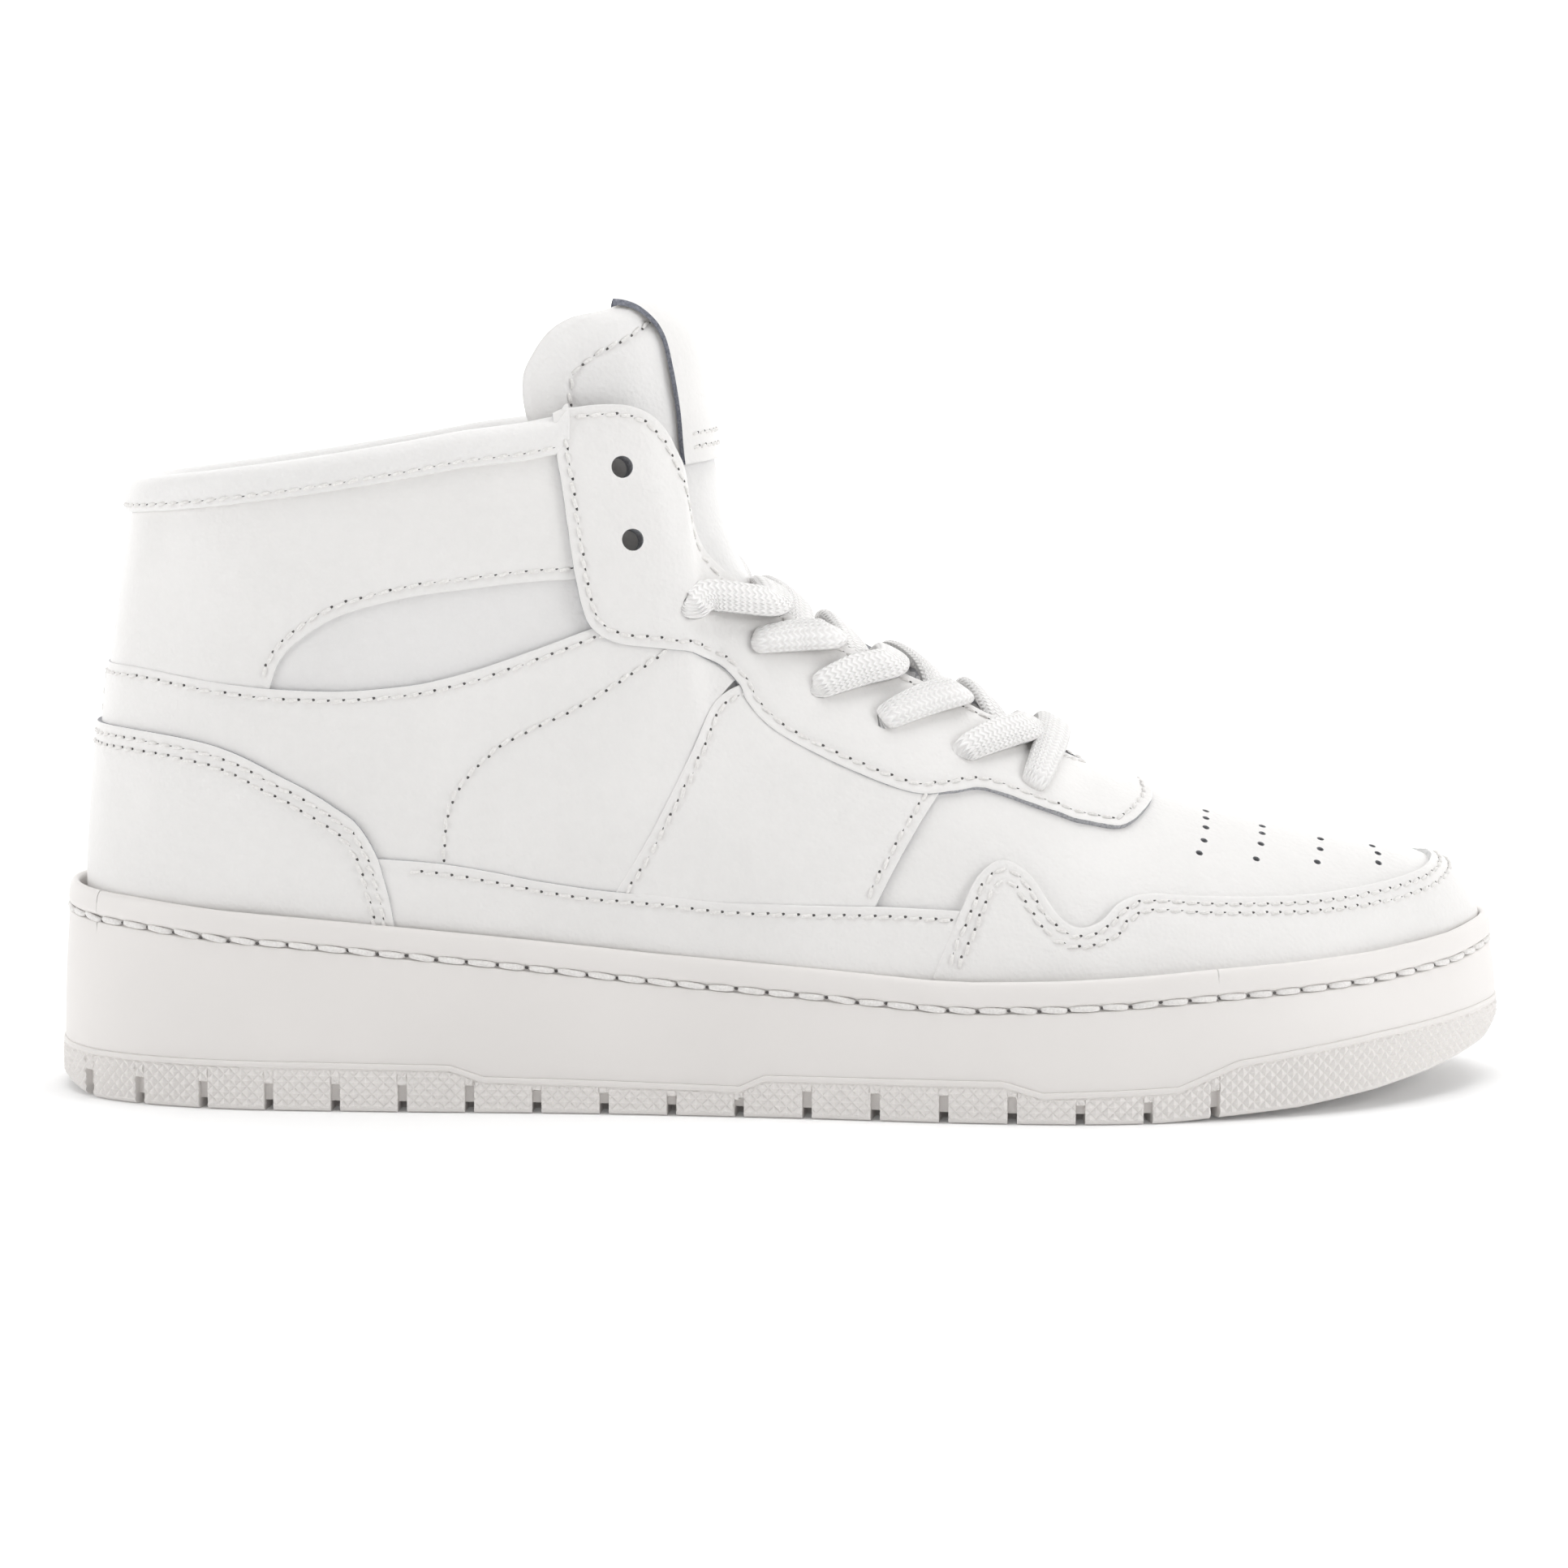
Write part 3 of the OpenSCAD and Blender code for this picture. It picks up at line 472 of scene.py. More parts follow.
def add_stitches(group, path, normals, pitch=3.0, length=2.35, r=0.34, slant=9.0, hole=1.0):
    """Puts one stitch every pitch mm along a path on the leather; hole sizes the dark disc of painted shade
    at each stitch's needle hole.
    """
    seg = np.linalg.norm(np.diff(path, axis=0), axis=1)
    s = np.concatenate([[0], np.cumsum(seg)])
    n = max(int(s[-1] / pitch), 1)
    at = (np.arange(n) + 0.5) * s[-1] / n
    p = np.stack([np.interp(at, s, path[:, k]) for k in range(3)], 1)
    m = unit(np.stack([np.interp(at, s, normals[:, k]) for k in range(3)], 1))
    q = np.stack([np.interp(at + 0.3, s, path[:, k]) for k in range(3)], 1) - \
        np.stack([np.interp(at - 0.3, s, path[:, k]) for k in range(3)], 1)
    STITCHES.setdefault(group, []).append((p, m, unit(q), length, r, slant, hole))


def flush_stitches():
    for group, runs in STITCHES.items():
        verts, faces, mats = [], [], []
        base = 0
        for p, m, t, length, r, slant, hole in runs:
            n = len(p)
            jit = rng.normal(0, 1, (n, 3))
            side = unit(np.cross(m, t))
            ang = np.radians(slant + jit[:, 0] * 2.5)[:, None]
            t2 = t * np.cos(ang) + side * np.sin(ang)
            side = unit(np.cross(m, t2))
            ln = length * (1 + 0.04 * jit[:, 1])[:, None]
            rings = [(-0.5, -0.34, 0.5), (-0.42, -0.02, 0.85), (-0.2, 0.2, 1), (0.2, 0.24, 1.02),
                     (0.42, 0.0, 0.86), (0.5, -0.34, 0.5)]
            k = 7
            tube = []
            for a, h, w in rings:
                c = p + t2 * ln * a + m * (h * 0.9 * r / 0.34)
                for g in np.arange(k) * 2 * math.pi / k:
                    tube.append(c + side * math.cos(g) * r * w * 1.1 + m * math.sin(g) * r * w)
            tube = np.stack(tube, 1)                      # n, rings * k, 3
            verts.append(tube.reshape(-1, 3))
            f = []
            for a in range(len(rings) - 1):
                for g in range(k):
                    f.append((a * k + g, a * k + (g + 1) % k, (a + 1) * k + (g + 1) % k, (a + 1) * k + g))
            f = np.array(f)
            allf = (f[None] + (np.arange(n) * len(rings) * k)[:, None, None]).reshape(-1, 4) + base
            faces.append(allf)
            mats.append(np.zeros(len(allf), int))
            base += n * len(rings) * k
            # painted shade: a dark disc at one end of each stitch stands in for the shade inside its needle
            # hole
            if hole:
                e = 8
                c = p + t2 * ln * 0.56 + side * 0.05 + m * 0.035
                disc = [c + side * math.cos(g) * 0.28 * hole + t2 * math.sin(g) * 0.38 * hole
                        for g in np.arange(e) * 2 * math.pi / e]
                disc = np.stack(disc, 1)
                verts.append(disc.reshape(-1, 3))
                g = np.arange(n)[:, None] * e + base
                allf = np.concatenate([np.concatenate([g, g + a, g + a + 1, g + a + 2], 1)
                                       for a in (1, 3, 5)])
                faces.append(allf)
                mats.append(np.ones(len(allf), int))
                base += n * e
        build(group, np.concatenate(verts), np.concatenate(faces), [THREAD, NEEDLE_HOLE_SHADE],
              np.concatenate(mats))


# ---------------------------------------------------------------- leather panels
def ripple(p, size=1.0):
    """Slow unevenness of hand-lasted leather."""
    x, y, z = p[..., 0], p[..., 1], p[..., 2]
    return size * (0.10 * np.sin(x / 17 + z / 23 + 1.3) * np.cos(y / 15 + z / 19) +
                   0.06 * np.sin(x / 7.3 - z / 8.9 + y / 11) + 0.035 * np.sin(x / 3.9 + z / 4.6 + y / 5.1))


def run_of(p):
    return np.concatenate([[0], np.cumsum(np.linalg.norm(np.diff(p, axis=0), axis=1))])


def even(p, step, *more):
    """Resamples a polyline, and anything given per point, at an even step."""
    s = run_of(p)
    at = np.linspace(0, s[-1], max(int(round(s[-1] / step)), 2) + 1)
    out = [np.stack([np.interp(at, s, q[:, k]) for k in range(q.shape[1])], 1) for q in (p, *more)]
    return out if more else out[0]


def settle(x, times):
    """Smooths a row of values or points whose ends stay."""
    for _ in range(times):
        x[1:-1] = (x[:-2] + 2 * x[1:-1] + x[2:]) / 4
    return x


def far_from(p, line):
    """Distance of every point of a grid from a polyline."""
    q = p.reshape(-1, 3)
    out = np.full(len(q), 1e6)
    for a in range(0, len(q), 4000):
        g = q[a:a + 4000]
        for b in range(0, len(line), 200):
            h = line[b:b + 200]
            out[a:a + 4000] = np.minimum(out[a:a + 4000], np.sqrt(
                np.maximum(((g[:, None] - h[None]) ** 2).sum(2).min(1), 0)))
    return out.reshape(p.shape[:-1])


EDGE_ROWS = np.array([0, 0.1, 0.28, 0.5, 0.75, 1.1, 1.5, 2.0, 2.6, 3.3, 4.2, 5.2])
FOOT_V = 0.02


class Panel:
    """A sheet on the upper between a lower and an upper edge of as many points each, (station, share).

    seen: which edges show, out of l(ower), h(igher), s(tart) and e(nd). dips: distances of stitch rows
    from them. fused: the end left open because it joins its twin."""

    def __init__(self, lo, hi, d1, d0=-0.2, side=1, seen="h", dips=(), cols=1.5, rows=2.4, bevel=0.35,
                 fused="", t=None, pad=None, skive=0.8):
        if side < 0:
            lo, hi = medial(lo), medial(hi)
            seen, fused = [w.translate(str.maketrans("se", "es")) for w in (seen, fused)]
        self.side, self.d1 = side, d1
        k = len(lo) - 1
        if t is None:
            t = np.linspace(0, k, 24 * k + 1)
            H, L = curve_through(hi, t), curve_through(lo, t)
            M = (H + L) / 2
            seg = np.max([np.linalg.norm(np.diff(skin(*q.T), axis=0), axis=1) for q in (H, L, M)], axis=0)
            s = np.concatenate([[0], np.cumsum(seg + 1e-6)])
            at = np.linspace(0, s[-1], max(int(s[-1] / cols), 8))
            if "s" in seen:
                at = np.concatenate([EDGE_ROWS, at[at > EDGE_ROWS[-1] + 0.6]])
            if "e" in seen:
                at = np.concatenate([at[at < s[-1] - EDGE_ROWS[-1] - 0.6], s[-1] - EDGE_ROWS[::-1]])
            t = np.interp(at, s, t)
        self.t = t
        self.L, self.H = curve_through(lo, t), curve_through(hi, t)
        gap = self.H - self.L
        w = np.linspace(0, 1, 16)
        line = skin(self.L[:, None, 0] + gap[:, None, 0] * w, self.L[:, None, 1] + gap[:, None, 1] * w)
        height = np.maximum(np.linalg.norm(np.diff(line, axis=1), axis=2).sum(1), 0.5)[:, None]
        room = np.minimum(1, height * 0.46 / EDGE_ROWS[-1])
        low = EDGE_ROWS[None] * room if "l" in seen else np.zeros((len(t), 1))
        top = EDGE_ROWS[None] * room if "h" in seen else np.zeros((len(t), 1))
        m = max(int(np.percentile(height, 75) / rows), 3)
        mids = low[:, -1:] + (height - top[:, -1:] - low[:, -1:]) * np.linspace(0, 1, m + 2)[None, 1:-1]
        b = np.concatenate([low, mids, height - top[:, ::-1]], 1) / height
        self.c = self.L[:, :1] + gap[:, :1] * b
        self.v = np.minimum(self.L[:, 1:] + gap[:, 1:] * b, 1.0)
        self.base = skin(self.c, self.v)
        edges = {"l": self.base[:, 0], "h": self.base[:, -1], "s": self.base[0], "e": self.base[-1]}
        self.edges = edges
        lines = np.concatenate([even(edges[w], 0.25) for w in seen]) if seen else None
        dist = far_from(self.base, lines) if seen else np.full(self.c.shape, 99.0)
        fall = bevel * (1 - np.sqrt(np.clip(1 - (1 - np.minimum(dist / bevel, 1)) ** 2, 0, 1)))
        d = d1 - fall * min(1, d1 - np.mean(d0)) + ripple(self.base) * np.clip(dist / 3, 0, 1)
        d = d - skive * np.clip((0.2 - self.v) / 0.13, 0, 1)
        for far in dips:
            d = d - 0.17 * np.exp(-((dist - far) / 0.7) ** 2) + 0.06 * np.exp(-((dist - far - 1.8) / 1) ** 2)
        self.d = d
        self.d0 = np.minimum(np.zeros_like(d) + d0, d - 0.15)
        if pad is not None:
            self.d0 = self.d0 - pad(self.c, self.v)
        self.fused = fused
        self.p, self.q = spot(self.c, self.v, self.d), spot(self.c, self.v, self.d0)
        n = self.c.shape
        self.tree = BVHTree.FromPolygons(self.p.reshape(-1, 3).tolist(), quads(*n).tolist())

    def mesh(self):
        nu, nv = self.c.shape
        k = nu * nv
        g = np.arange(k).reshape(nu, nv)
        m = np.mod(self.c[:, -1], 2 * NW)
        shut = (self.v[:, -1] > 0.999) & (m > CROWN - 0.01) & (m < 2 * NW - CROWN + 0.01)
        top = strip(g[:, -1], g[:, -1] + k)[~(shut[1:] & shut[:-1])]
        rim = [strip(g[::-1, 0], g[::-1, 0] + k), top]
        if "s" not in self.fused:
            rim.append(strip(g[0], g[0] + k))
        if "e" not in self.fused:
            rim.append(strip(g[-1, ::-1], g[-1, ::-1] + k))
        rim = np.concatenate(rim)
        f = np.concatenate([quads(nu, nv), quads(nu, nv, k, True), rim])
        mat = np.zeros(len(f), int)
        mat[-len(rim):] = 1
        return np.concatenate([self.p.reshape(-1, 3), self.q.reshape(-1, 3)]), f, mat

    def on_surface(self, pts):
        hit = [self.tree.find_nearest(Vector(q)) for q in pts]
        p = np.array([h[0] for h in hit])
        n = np.array([h[1] for h in hit])
        flip = np.sign(np.sum(n * self.near_normal(p), 1))[:, None]
        return p, n * np.where(flip == 0, 1, flip)

    def near_normal(self, p):
        step = (slice(None, None, 4), slice(None, None, 4))
        q = self.p[step].reshape(-1, 3)
        n = facing(self.c[step], self.v[step]).reshape(-1, 3)
        k = np.array([np.argmin(((q - r) ** 2).sum(1)) for r in p])
        return n[k]

    def inset(self, which, far, t0=None, t1=None):
        """A line on the panel at a distance from one edge, between two places along it."""
        if self.side < 0:
            which = which.translate(str.maketrans("se", "es"))
            k = self.t[-1]
            t0, t1 = (None if t1 is None else k - t1), (None if t0 is None else k - t0)
        line = self.edges[which]
        if which in "lh":
            t0, t1 = self.t[0] if t0 is None else t0, self.t[-1] if t1 is None else t1
            line = line[(self.t >= t0) & (self.t <= t1)]
        line = even(line, 0.5)
        tang = unit(np.gradient(line, axis=0))
        n = self.near_normal(line)
        inward = np.cross(n, tang) * {"l": -1, "h": 1, "s": 1, "e": -1}[which]
        off = line + inward * far
        probe = {"l": self.base[:, min(3, self.base.shape[1] - 1)], "h": self.base[:, -4],
                 "s": self.base[3], "e": self.base[-4]}[which]
        j = len(line) // 2
        near = probe[np.argmin(((probe - line[j]) ** 2).sum(1))]
        if (near - line[j]) @ inward[j] < 0:
            off = line - inward * far
        clear = far_from(off, line) > far - 0.12
        off = off[clear]
        off = even(off, 0.5)
        return settle(off, 3)

    def sew(self, group, which, far, t0=None, t1=None, trim=(0.6, 0.6), **kw):
        line = self.inset(which, far, t0, t1)
        s = run_of(line)
        line = line[(s >= trim[0]) & (s <= s[-1] - trim[1])]
        self.sew_line(group, line, **kw)

    def sew_line(self, group, line, **kw):
        p, n = self.on_surface(even(line, 0.8))
        add_stitches(group, p, n, **kw)


def panel_piece(name, panels, mat=None, replaces=(), edge_mat=None, body=SHOE,
                holes=(), merge=0.0):
    verts, faces, mats, base = [], [], [], 0
    for q in panels if isinstance(panels, (list, tuple)) else [panels]:
        v, f, m = q.mesh()
        verts.append(v)
        faces.append(f + base)
        mats.append(m)
        base += len(v)
    # the third slot, the cut edge grey with its painted shade, goes to the walls of the drilled holes
    ob = build(name, np.concatenate(verts), np.concatenate(faces), [mat or LEATHER, edge_mat or EDGE, CUT_EDGE_AND_SHADE],
               np.concatenate(mats), keep=False, merge=merge)
    bevel_normals(ob)
    if len(holes):
        cut_holes(ob, holes[0], holes[1], holes[2], 2)
    finish_piece(ob, body, replaces)
    return ob


def bevel_normals(ob):
    """Keeps the cut edges crisp and the faces smooth."""
    me = ob.data
    bm = bmesh.new()
    bm.from_mesh(me)
    for e in bm.edges:
        if len(e.link_faces) == 2 and e.link_faces[0].material_index != e.link_faces[1].material_index:
            e.smooth = False
    bm.to_mesh(me)
    bm.free()


# ---------------------------------------------------------------- sole
# plan outline: x, lateral y, medial y
PLAN = np.array([(-150, 0, 0), (-146, -16, 16), (-134, -28, 27), (-112, -36, 34.5), (-80, -39, 36.5),
                 (-40, -41, 36), (0, -45.5, 38), (35, -51, 43.5), (65, -52.5, 49.5), (92, -47, 52.5),
                 (115, -37, 49.5), (132, -23.5, 41), (144, -8, 27), (150, 9, 9)])
Z_GROUND = np.array([(-150, 2.5), (-142, 0), (75, 0), (86, 0.7), (103, 1.7), (120, 3.8), (132, 5.8),
                     (146, 9), (150, 12.5)])
Z_BAND = np.array([(-150, 10.2), (-96, 10), (-67, 9.7), (-60, 7.4), (-9, 6.3), (-4, 8.6), (43, 8.7),
                   (51, 6.4), (78, 7.3), (90, 12), (103, 13.6), (120, 15.5), (139, 16.8), (150, 17.2)])
Z_RIM = np.array([(-150, 43), (-133, 42), (-115, 40.2), (-98, 39), (-79, 37.4), (-59, 35.6), (-27, 32.5),
                  (6, 30), (28, 28.3), (37, 28), (54, 28.4), (70, 29.2), (86, 30.2), (103, 30.8),
                  (120, 31.6), (139, 33), (150, 34.6)])
Z_BED = np.array([(-150, 25.8), (-97, 25.3), (-70, 23.8), (-47, 21.3), (-32, 19.8), (-19, 18.3),
                  (-6, 17.3), (11, 16.3), (31, 15.3), (50, 14.8), (66, 15.2), (84, 15.8), (104, 17.8),
                  (122, 20.3), (136, 22.6), (150, 23.8)])
SLOT_PITCH, SLOT_WIDTH, SLOTS = 13.5, 1.8, 18
slot_x = [-144 + SLOT_PITCH * (k + (0.15 if k == 0 else 0)) for k in range(SLOTS)]
SLOT_LIP = 0.06                  # how much a slot's wall leans
VALLEY, PEAK = 0.36, 0.52        # how deep the band's valleys lie, and how far its pyramids rise
GRAIN = 0.4                      # one step of the textured band
PITCH = 6                        # steps from valley to valley of its small pyramids


def look(table, x):
    return np.interp(x, table[:, 0], table[:, 1])


def half_outline(side, t):
    """Points of the plan outline from the heel round to the toe along one side."""
    ring = np.array([(x, a) for x, a, _ in PLAN] + [(x, b) for x, _, b in PLAN[-2:0:-1]])
    u = t if side < 0 else len(ring) - t
    j = np.floor(u).astype(int)
    f = (u - j)[:, None]
    return spline(*[ring[(j + m) % len(ring)] for m in (-1, 0, 1, 2)], f)


def sole_columns(step):
    """Columns round the sole, lateral heel to toe and back along the medial side."""
    t = np.linspace(0, len(PLAN) - 1, 4000)
    out = []
    count = None
    for side in (-1, 1):
        p = half_outline(side, t)
        s = run_of(p)
        count = count or int(s[-1] / step / PITCH) * PITCH
        at = np.linspace(0, s[-1], count + 1)
        tag = np.arange(count + 1)
        rising = np.maximum.accumulate(p[:, 0])
        half = 0.5 * SLOT_WIDTH
        for xs in slot_x:
            for e in (-half - SLOT_LIP, -half, half, half + SLOT_LIP):
                at = np.append(at, np.interp(xs + e, rising, s))
                tag = np.append(tag, -1)
        order = np.argsort(at, kind="stable")
        at, tag = at[order], tag[order]
        q = np.stack([np.interp(at, s, p[:, m]) for m in (0, 1)], 1)
        out.append((q, tag))
    (a, ta), (b, tb) = out
    ring = np.concatenate([a, b[-2:0:-1]])
    tags = np.concatenate([ta, tb[-2:0:-1]])
    d = np.roll(ring, -1, 0) - np.roll(ring, 1, 0)
    for _ in range(6):
        d = (np.roll(d, 1, 0) + 2 * d + np.roll(d, -1, 0)) / 4
    n = unit(np.stack([d[:, 1], -d[:, 0]], 1))
    if np.sum(n[:, 1] * ring[:, 1]) < 0:
        n = -n
    return ring, n, tags


RING, RING_OUT, RING_TAG = sole_columns(GRAIN)
NR = len(RING)


def ring_row(inset, z, up=0.0):
    """One row of the sole, inset from the plan outline, at heights that follow a table."""
    p = RING - RING_OUT * np.asarray(inset)[..., None] if np.ndim(inset) else RING - RING_OUT * inset
    h = look(z, RING[:, 0]) + up if isinstance(z, np.ndarray) and z.ndim == 2 else z
    return np.column_stack([p, np.broadcast_to(h, NR)])


def ring_faces(rows, start=0):
    i = np.arange(NR)
    j = (i + 1) % NR
    return np.concatenate([np.stack([start + r * NR + i, start + r * NR + j, start + (r + 1) * NR + j,
                                     start + (r + 1) * NR + i], 1) for r in range(rows - 1)])


def outsole():
    x = RING[:, 0]
    ground, band = look(Z_GROUND, x), look(Z_BAND, x)
    in_slot = np.zeros(NR, bool)
    for xs in slot_x:
        in_slot |= np.abs(x - xs) < 0.5 * SLOT_WIDTH + 0.03
    top = ground + np.minimum(5.4, band - ground - 2.6)
    rows = []
    for inset, up in ((2.2, 0), (1.2, 0.05), (0.55, 0.35), (0.15, 0.9)):
        rows.append((np.full(NR, inset), ground + up))
    n = int((np.max(band - ground) - 2.2) / GRAIN) + 1
    for j in range(n):
        z = np.minimum(ground + 1.35 + GRAIN * j, band - 1.25)
        a, b = (RING_TAG + j) % PITCH, (RING_TAG - j) % PITCH
        peak = 1 - 2 * np.maximum(np.abs(a - PITCH / 2), np.abs(b - PITCH / 2)) / PITCH
        peak = np.where((RING_TAG >= 0) & (ground + 1.35 + GRAIN * j < band - 1.5), np.maximum(peak, 0), 0)
        rows.append((VALLEY - PEAK * peak, z))
    for inset, up in ((0.3, -1.2), (0.02, -1.0), (-0.02, -0.5), (0.1, -0.1), (0.35, 0.05), (1.4, 0.05)):
        rows.append((np.full(NR, inset), band + up))
    pts = []
    for inset, z in rows:
        cut = in_slot & (z < top)
        deep = np.where(z < ground + 1.9, 7.0, 1.7)
        pts.append(np.column_stack([RING - RING_OUT * np.where(cut, deep, inset)[:, None], z]))
    # each square of the band is split along the valleys between the pyramids
    first, last = RING_TAG, np.roll(RING_TAG, -1)
    even_cell = (np.minimum(first, last)[None] + np.arange(-4, len(rows) - 5)[:, None]) % 2 == 0
    main_way = (even_cell == (last > first)[None]).reshape(-1, 1)
    q = ring_faces(len(rows))
    faces = np.concatenate([np.where(main_way, q[:, [0, 1, 2]], q[:, [1, 2, 3]]),
                            np.where(main_way, q[:, [0, 2, 3]], q[:, [1, 3, 0]])])
    verts = np.concatenate(pts)
    # underside: ribs of tread from one side to the other, with grooves that run out into the slots
    half = NR // 2
    lat = np.arange(0, half + 1)
    med = (NR - lat) % NR
    a, b = pts[0][lat], pts[0][med]
    w = np.linspace(0, 1, 61)[1:-1]
    lift = np.where(in_slot[lat], 1.8, 0.0)[:, None] * np.ones_like(w)
    mid = a[:, None] * (1 - w[:, None]) + b[:, None] * w[:, None]
    zig = np.abs(((mid[..., 1] / 9) % 2) - 1) * 5
    rib = np.sin(2 * np.pi * (mid[..., 0] + zig) / 6.75)
    mid[..., 2] += np.maximum(lift, np.clip(rib * 2.4 - 0.6, 0, 1.3))
    g = len(verts) + np.arange(len(lat) * len(w)).reshape(len(lat), len(w))
    grid = np.concatenate([lat[:, None], g, med[:, None]], 1)
    under = np.stack([grid[:-1, :-1], grid[:-1, 1:], grid[1:, 1:], grid[1:, :-1]], -1).reshape(-1, 4)
    mats = np.concatenate([np.zeros(len(faces), int), np.ones(len(under), int)])
    ob = build("outsole_rubber", np.concatenate([verts, mid.reshape(-1, 3)]), faces.tolist() + under.tolist(),
               [RUBBER_RIM, TREAD], mats, replaces=["outsole"], smooth=False, merge=0.002)
    return ob


GROOVE = 5.6                     # depth of the stitched groove below the rim


def cupsole():
    profile = [(1.4, 0.0), (0.5, 0.02), (0.42, 0.2)]
    rows = [ring_row(i, Z_BAND, u) for i, u in profile]
    foot, head = look(Z_BAND, RING[:, 0]) + 0.2, look(Z_RIM, RING[:, 0]) - GROOVE - 1.1
    for k in np.linspace(0, 1, 9)[1:]:
        belly = 0.25 * math.sin(math.pi * k)
        rows.append(ring_row(0.42 + (1.72 - 0.42) * k - belly, foot + (head - foot) * k))
    groove = [(1.78, -0.85), (1.95, -0.72), (2.5, -0.66), (2.7, -0.3), (2.65, 0.35), (2.2, 0.6), (1.8, 0.9),
              (1.62, 1.4), (1.62, 2.4)]
    lip = [(1.75, -2.2), (1.95, -1.2), (2.2, -0.55), (2.6, -0.12), (3.0, 0.0), (3.4, -0.05), (3.75, -0.4),
           (3.9, -1.2), (4.0, -8), (6.2, -14)]
    rows += [ring_row(inset, Z_RIM, up - GROOVE) for inset, up in groove]
    rows += [ring_row(inset, Z_RIM, up) for inset, up in lip]
    verts = np.concatenate(rows)
    build("cupsole_rubber", verts, ring_faces(len(rows)), [RUBBER],
          replaces=["cupsole", "midsole_foam", "lasting_board"])
    n = np.column_stack([RING_OUT, np.zeros(NR)])
    line = ring_row(2.28, Z_RIM, -GROOVE + 0.02)
    keep = RING_TAG >= 0
    line = np.concatenate([line[keep], line[keep][:1]])
    n = np.concatenate([n[keep], n[keep][:1]])
    add_stitches("sidewall_stitches", line, n, pitch=6, length=5.75, r=0.58, slant=-3, hole=1.1)


def sockliner():
    half = NR // 2
    lat = np.arange(0, half + 1, 6)
    med = (NR - lat) % NR
    p = ring_row(13.5, Z_BED, 5.2)
    w = np.linspace(0, 1, 31)
    g = p[lat][:, None] * (1 - w[:, None]) + p[med][:, None] * w[:, None]
    g[..., 2] += 1.6 * (2 * w - 1) ** 4 - 0.5
    nu, nv = g.shape[:2]
    low = g.copy()
    low[..., 2] -= 3.4
    k = nu * nv
    idx = np.arange(k).reshape(nu, nv)
    rim = np.concatenate([strip(idx[::-1, 0], idx[::-1, 0] + k), strip(idx[:, -1], idx[:, -1] + k)])
    build("sockliner_cloth", np.concatenate([g.reshape(-1, 3), low.reshape(-1, 3)]),
          np.concatenate([quads(nu, nv), quads(nu, nv, k, True), rim]), [TEXTILE],
          replaces=["sockliner"], merge=0.01)


outsole()
cupsole()
sockliner()

# ---------------------------------------------------------------- the upper's panels
# levels in mm above the base leather
LEVEL = dict(collar=0.7, band=1.2, vamp=0.6, quarter=1.5, foxing=1.8, heel=2.2, toe=2.0, stay=1.9)
EYELETS = np.array([(5.78, 128.7), (5.95, 114.3), (7.21, 100.7), (8.52, 92.6), (9.01, 83.6), (9.55, 77.1),
                    (10.21, 70.3), (10.87, 64.2)])
EYE_R, PERF_R = 2.2, 0.75
eye_cv = at_z(EYELETS)
PERFS = np.array([(13.18, 0.64), (13.29, 0.7), (13.38, 0.77), (13.44, 0.83), (13.5, 0.89), (13.84, 0.64),
                  (13.99, 0.72), (14.1, 0.79), (14.19, 0.85), (14.53, 0.64), (14.69, 0.72), (14.86, 0.8),
                  (15.36, 0.64), (15.56, 0.71), (15.73, 0.78)])


def holes_at(cv, sides, radius):
    c = np.concatenate([s * cv[:, 0] for s in sides])
    v = np.concatenate([cv[:, 1] for s in sides])
    return spot(c, v, np.zeros(len(c))), facing(c, v), radius


def flat(cs, v):
    return np.array([(c, v) for c in cs], float)


HEEL_TOP = [(0, 75.5), (0.5, 75.7), (1.4, 75.5), (2, 74.2), (2.4, 71.8), (2.8, 67), (3.05, 63.8), (3.2, 61.4),
            (3.38, 58), (3.53, 52), (3.6, 47), (3.65, 42.5), (3.69, 37), (3.71, 33)]
FOXING_TOP = [(3.3, 51.5), (3.54, 51), (4.05, 50), (4.45, 48.5), (5, 46.3), (5.95, 44.5), (7.3, 43),
              (8.3, 42.4), (9.1, 42), (9.55, 41.8), (10.16, 41), (10.6, 40.6)]
BAND_TOP = [(0.03, 88), (0.6, 88), (1.3, 88), (1.75, 87), (2.1, 86), (2.4, 85.2), (2.7, 84.6), (3.2, 84.4),
            (3.5, 85), (3.8, 86), (4.2, 88.4), (4.8, 92.8), (5.45, 97), (6.2, 99), (7.2, 97), (8.5, 88.5)]
BAND_LOW = [(0.03, 71.5), (0.6, 71.5), (1.3, 70.5), (1.75, 69), (2.1, 67), (2.4, 64.5), (2.7, 62), (3.0, 58),
            (3.15, 53), (3.25, 48), (3.45, 46), (4.05, 46), (4.6, 44), (5.2, 41.5), (5.8, 40.5), (6.3, 40)]
COLLAR_LOW = [(0, 84), (0.6, 84), (1.3, 84), (1.75, 83), (2.1, 82), (2.4, 80.6), (2.58, 81.6), (2.68, 90.3),
              (2.86, 95.2), (3.14, 99.5), (3.63, 103), (4.31, 105.2), (5.1, 106.6), (5.4, 107.2)]
COLLAR_HIGH = [0, 0.6, 1.15, 1.5, 1.85, 2.15, 2.4, 2.65, 2.9, 3.2, 3.7, 4.3, 5.0, 5.35]
STAY_LOW = [(4.97, 139.4), (5, 132), (5.07, 124), (5.14, 115.3), (5.22, 107), (5.36, 98.6), (5.6, 95),
            (6, 93.4), (6.75, 92.4), (7.4, 91.2), (8, 89.2), (8.26, 85.2), (8.34, 81.2), (8.6, 75.3),
            (9.2, 68.1), (9.75, 63.2), (10.1, 63.2), (10.43, 63.2), (11.1, 58.6), (11.7, 56.2),
            (12.3, 55), (12.72, 58.4)]
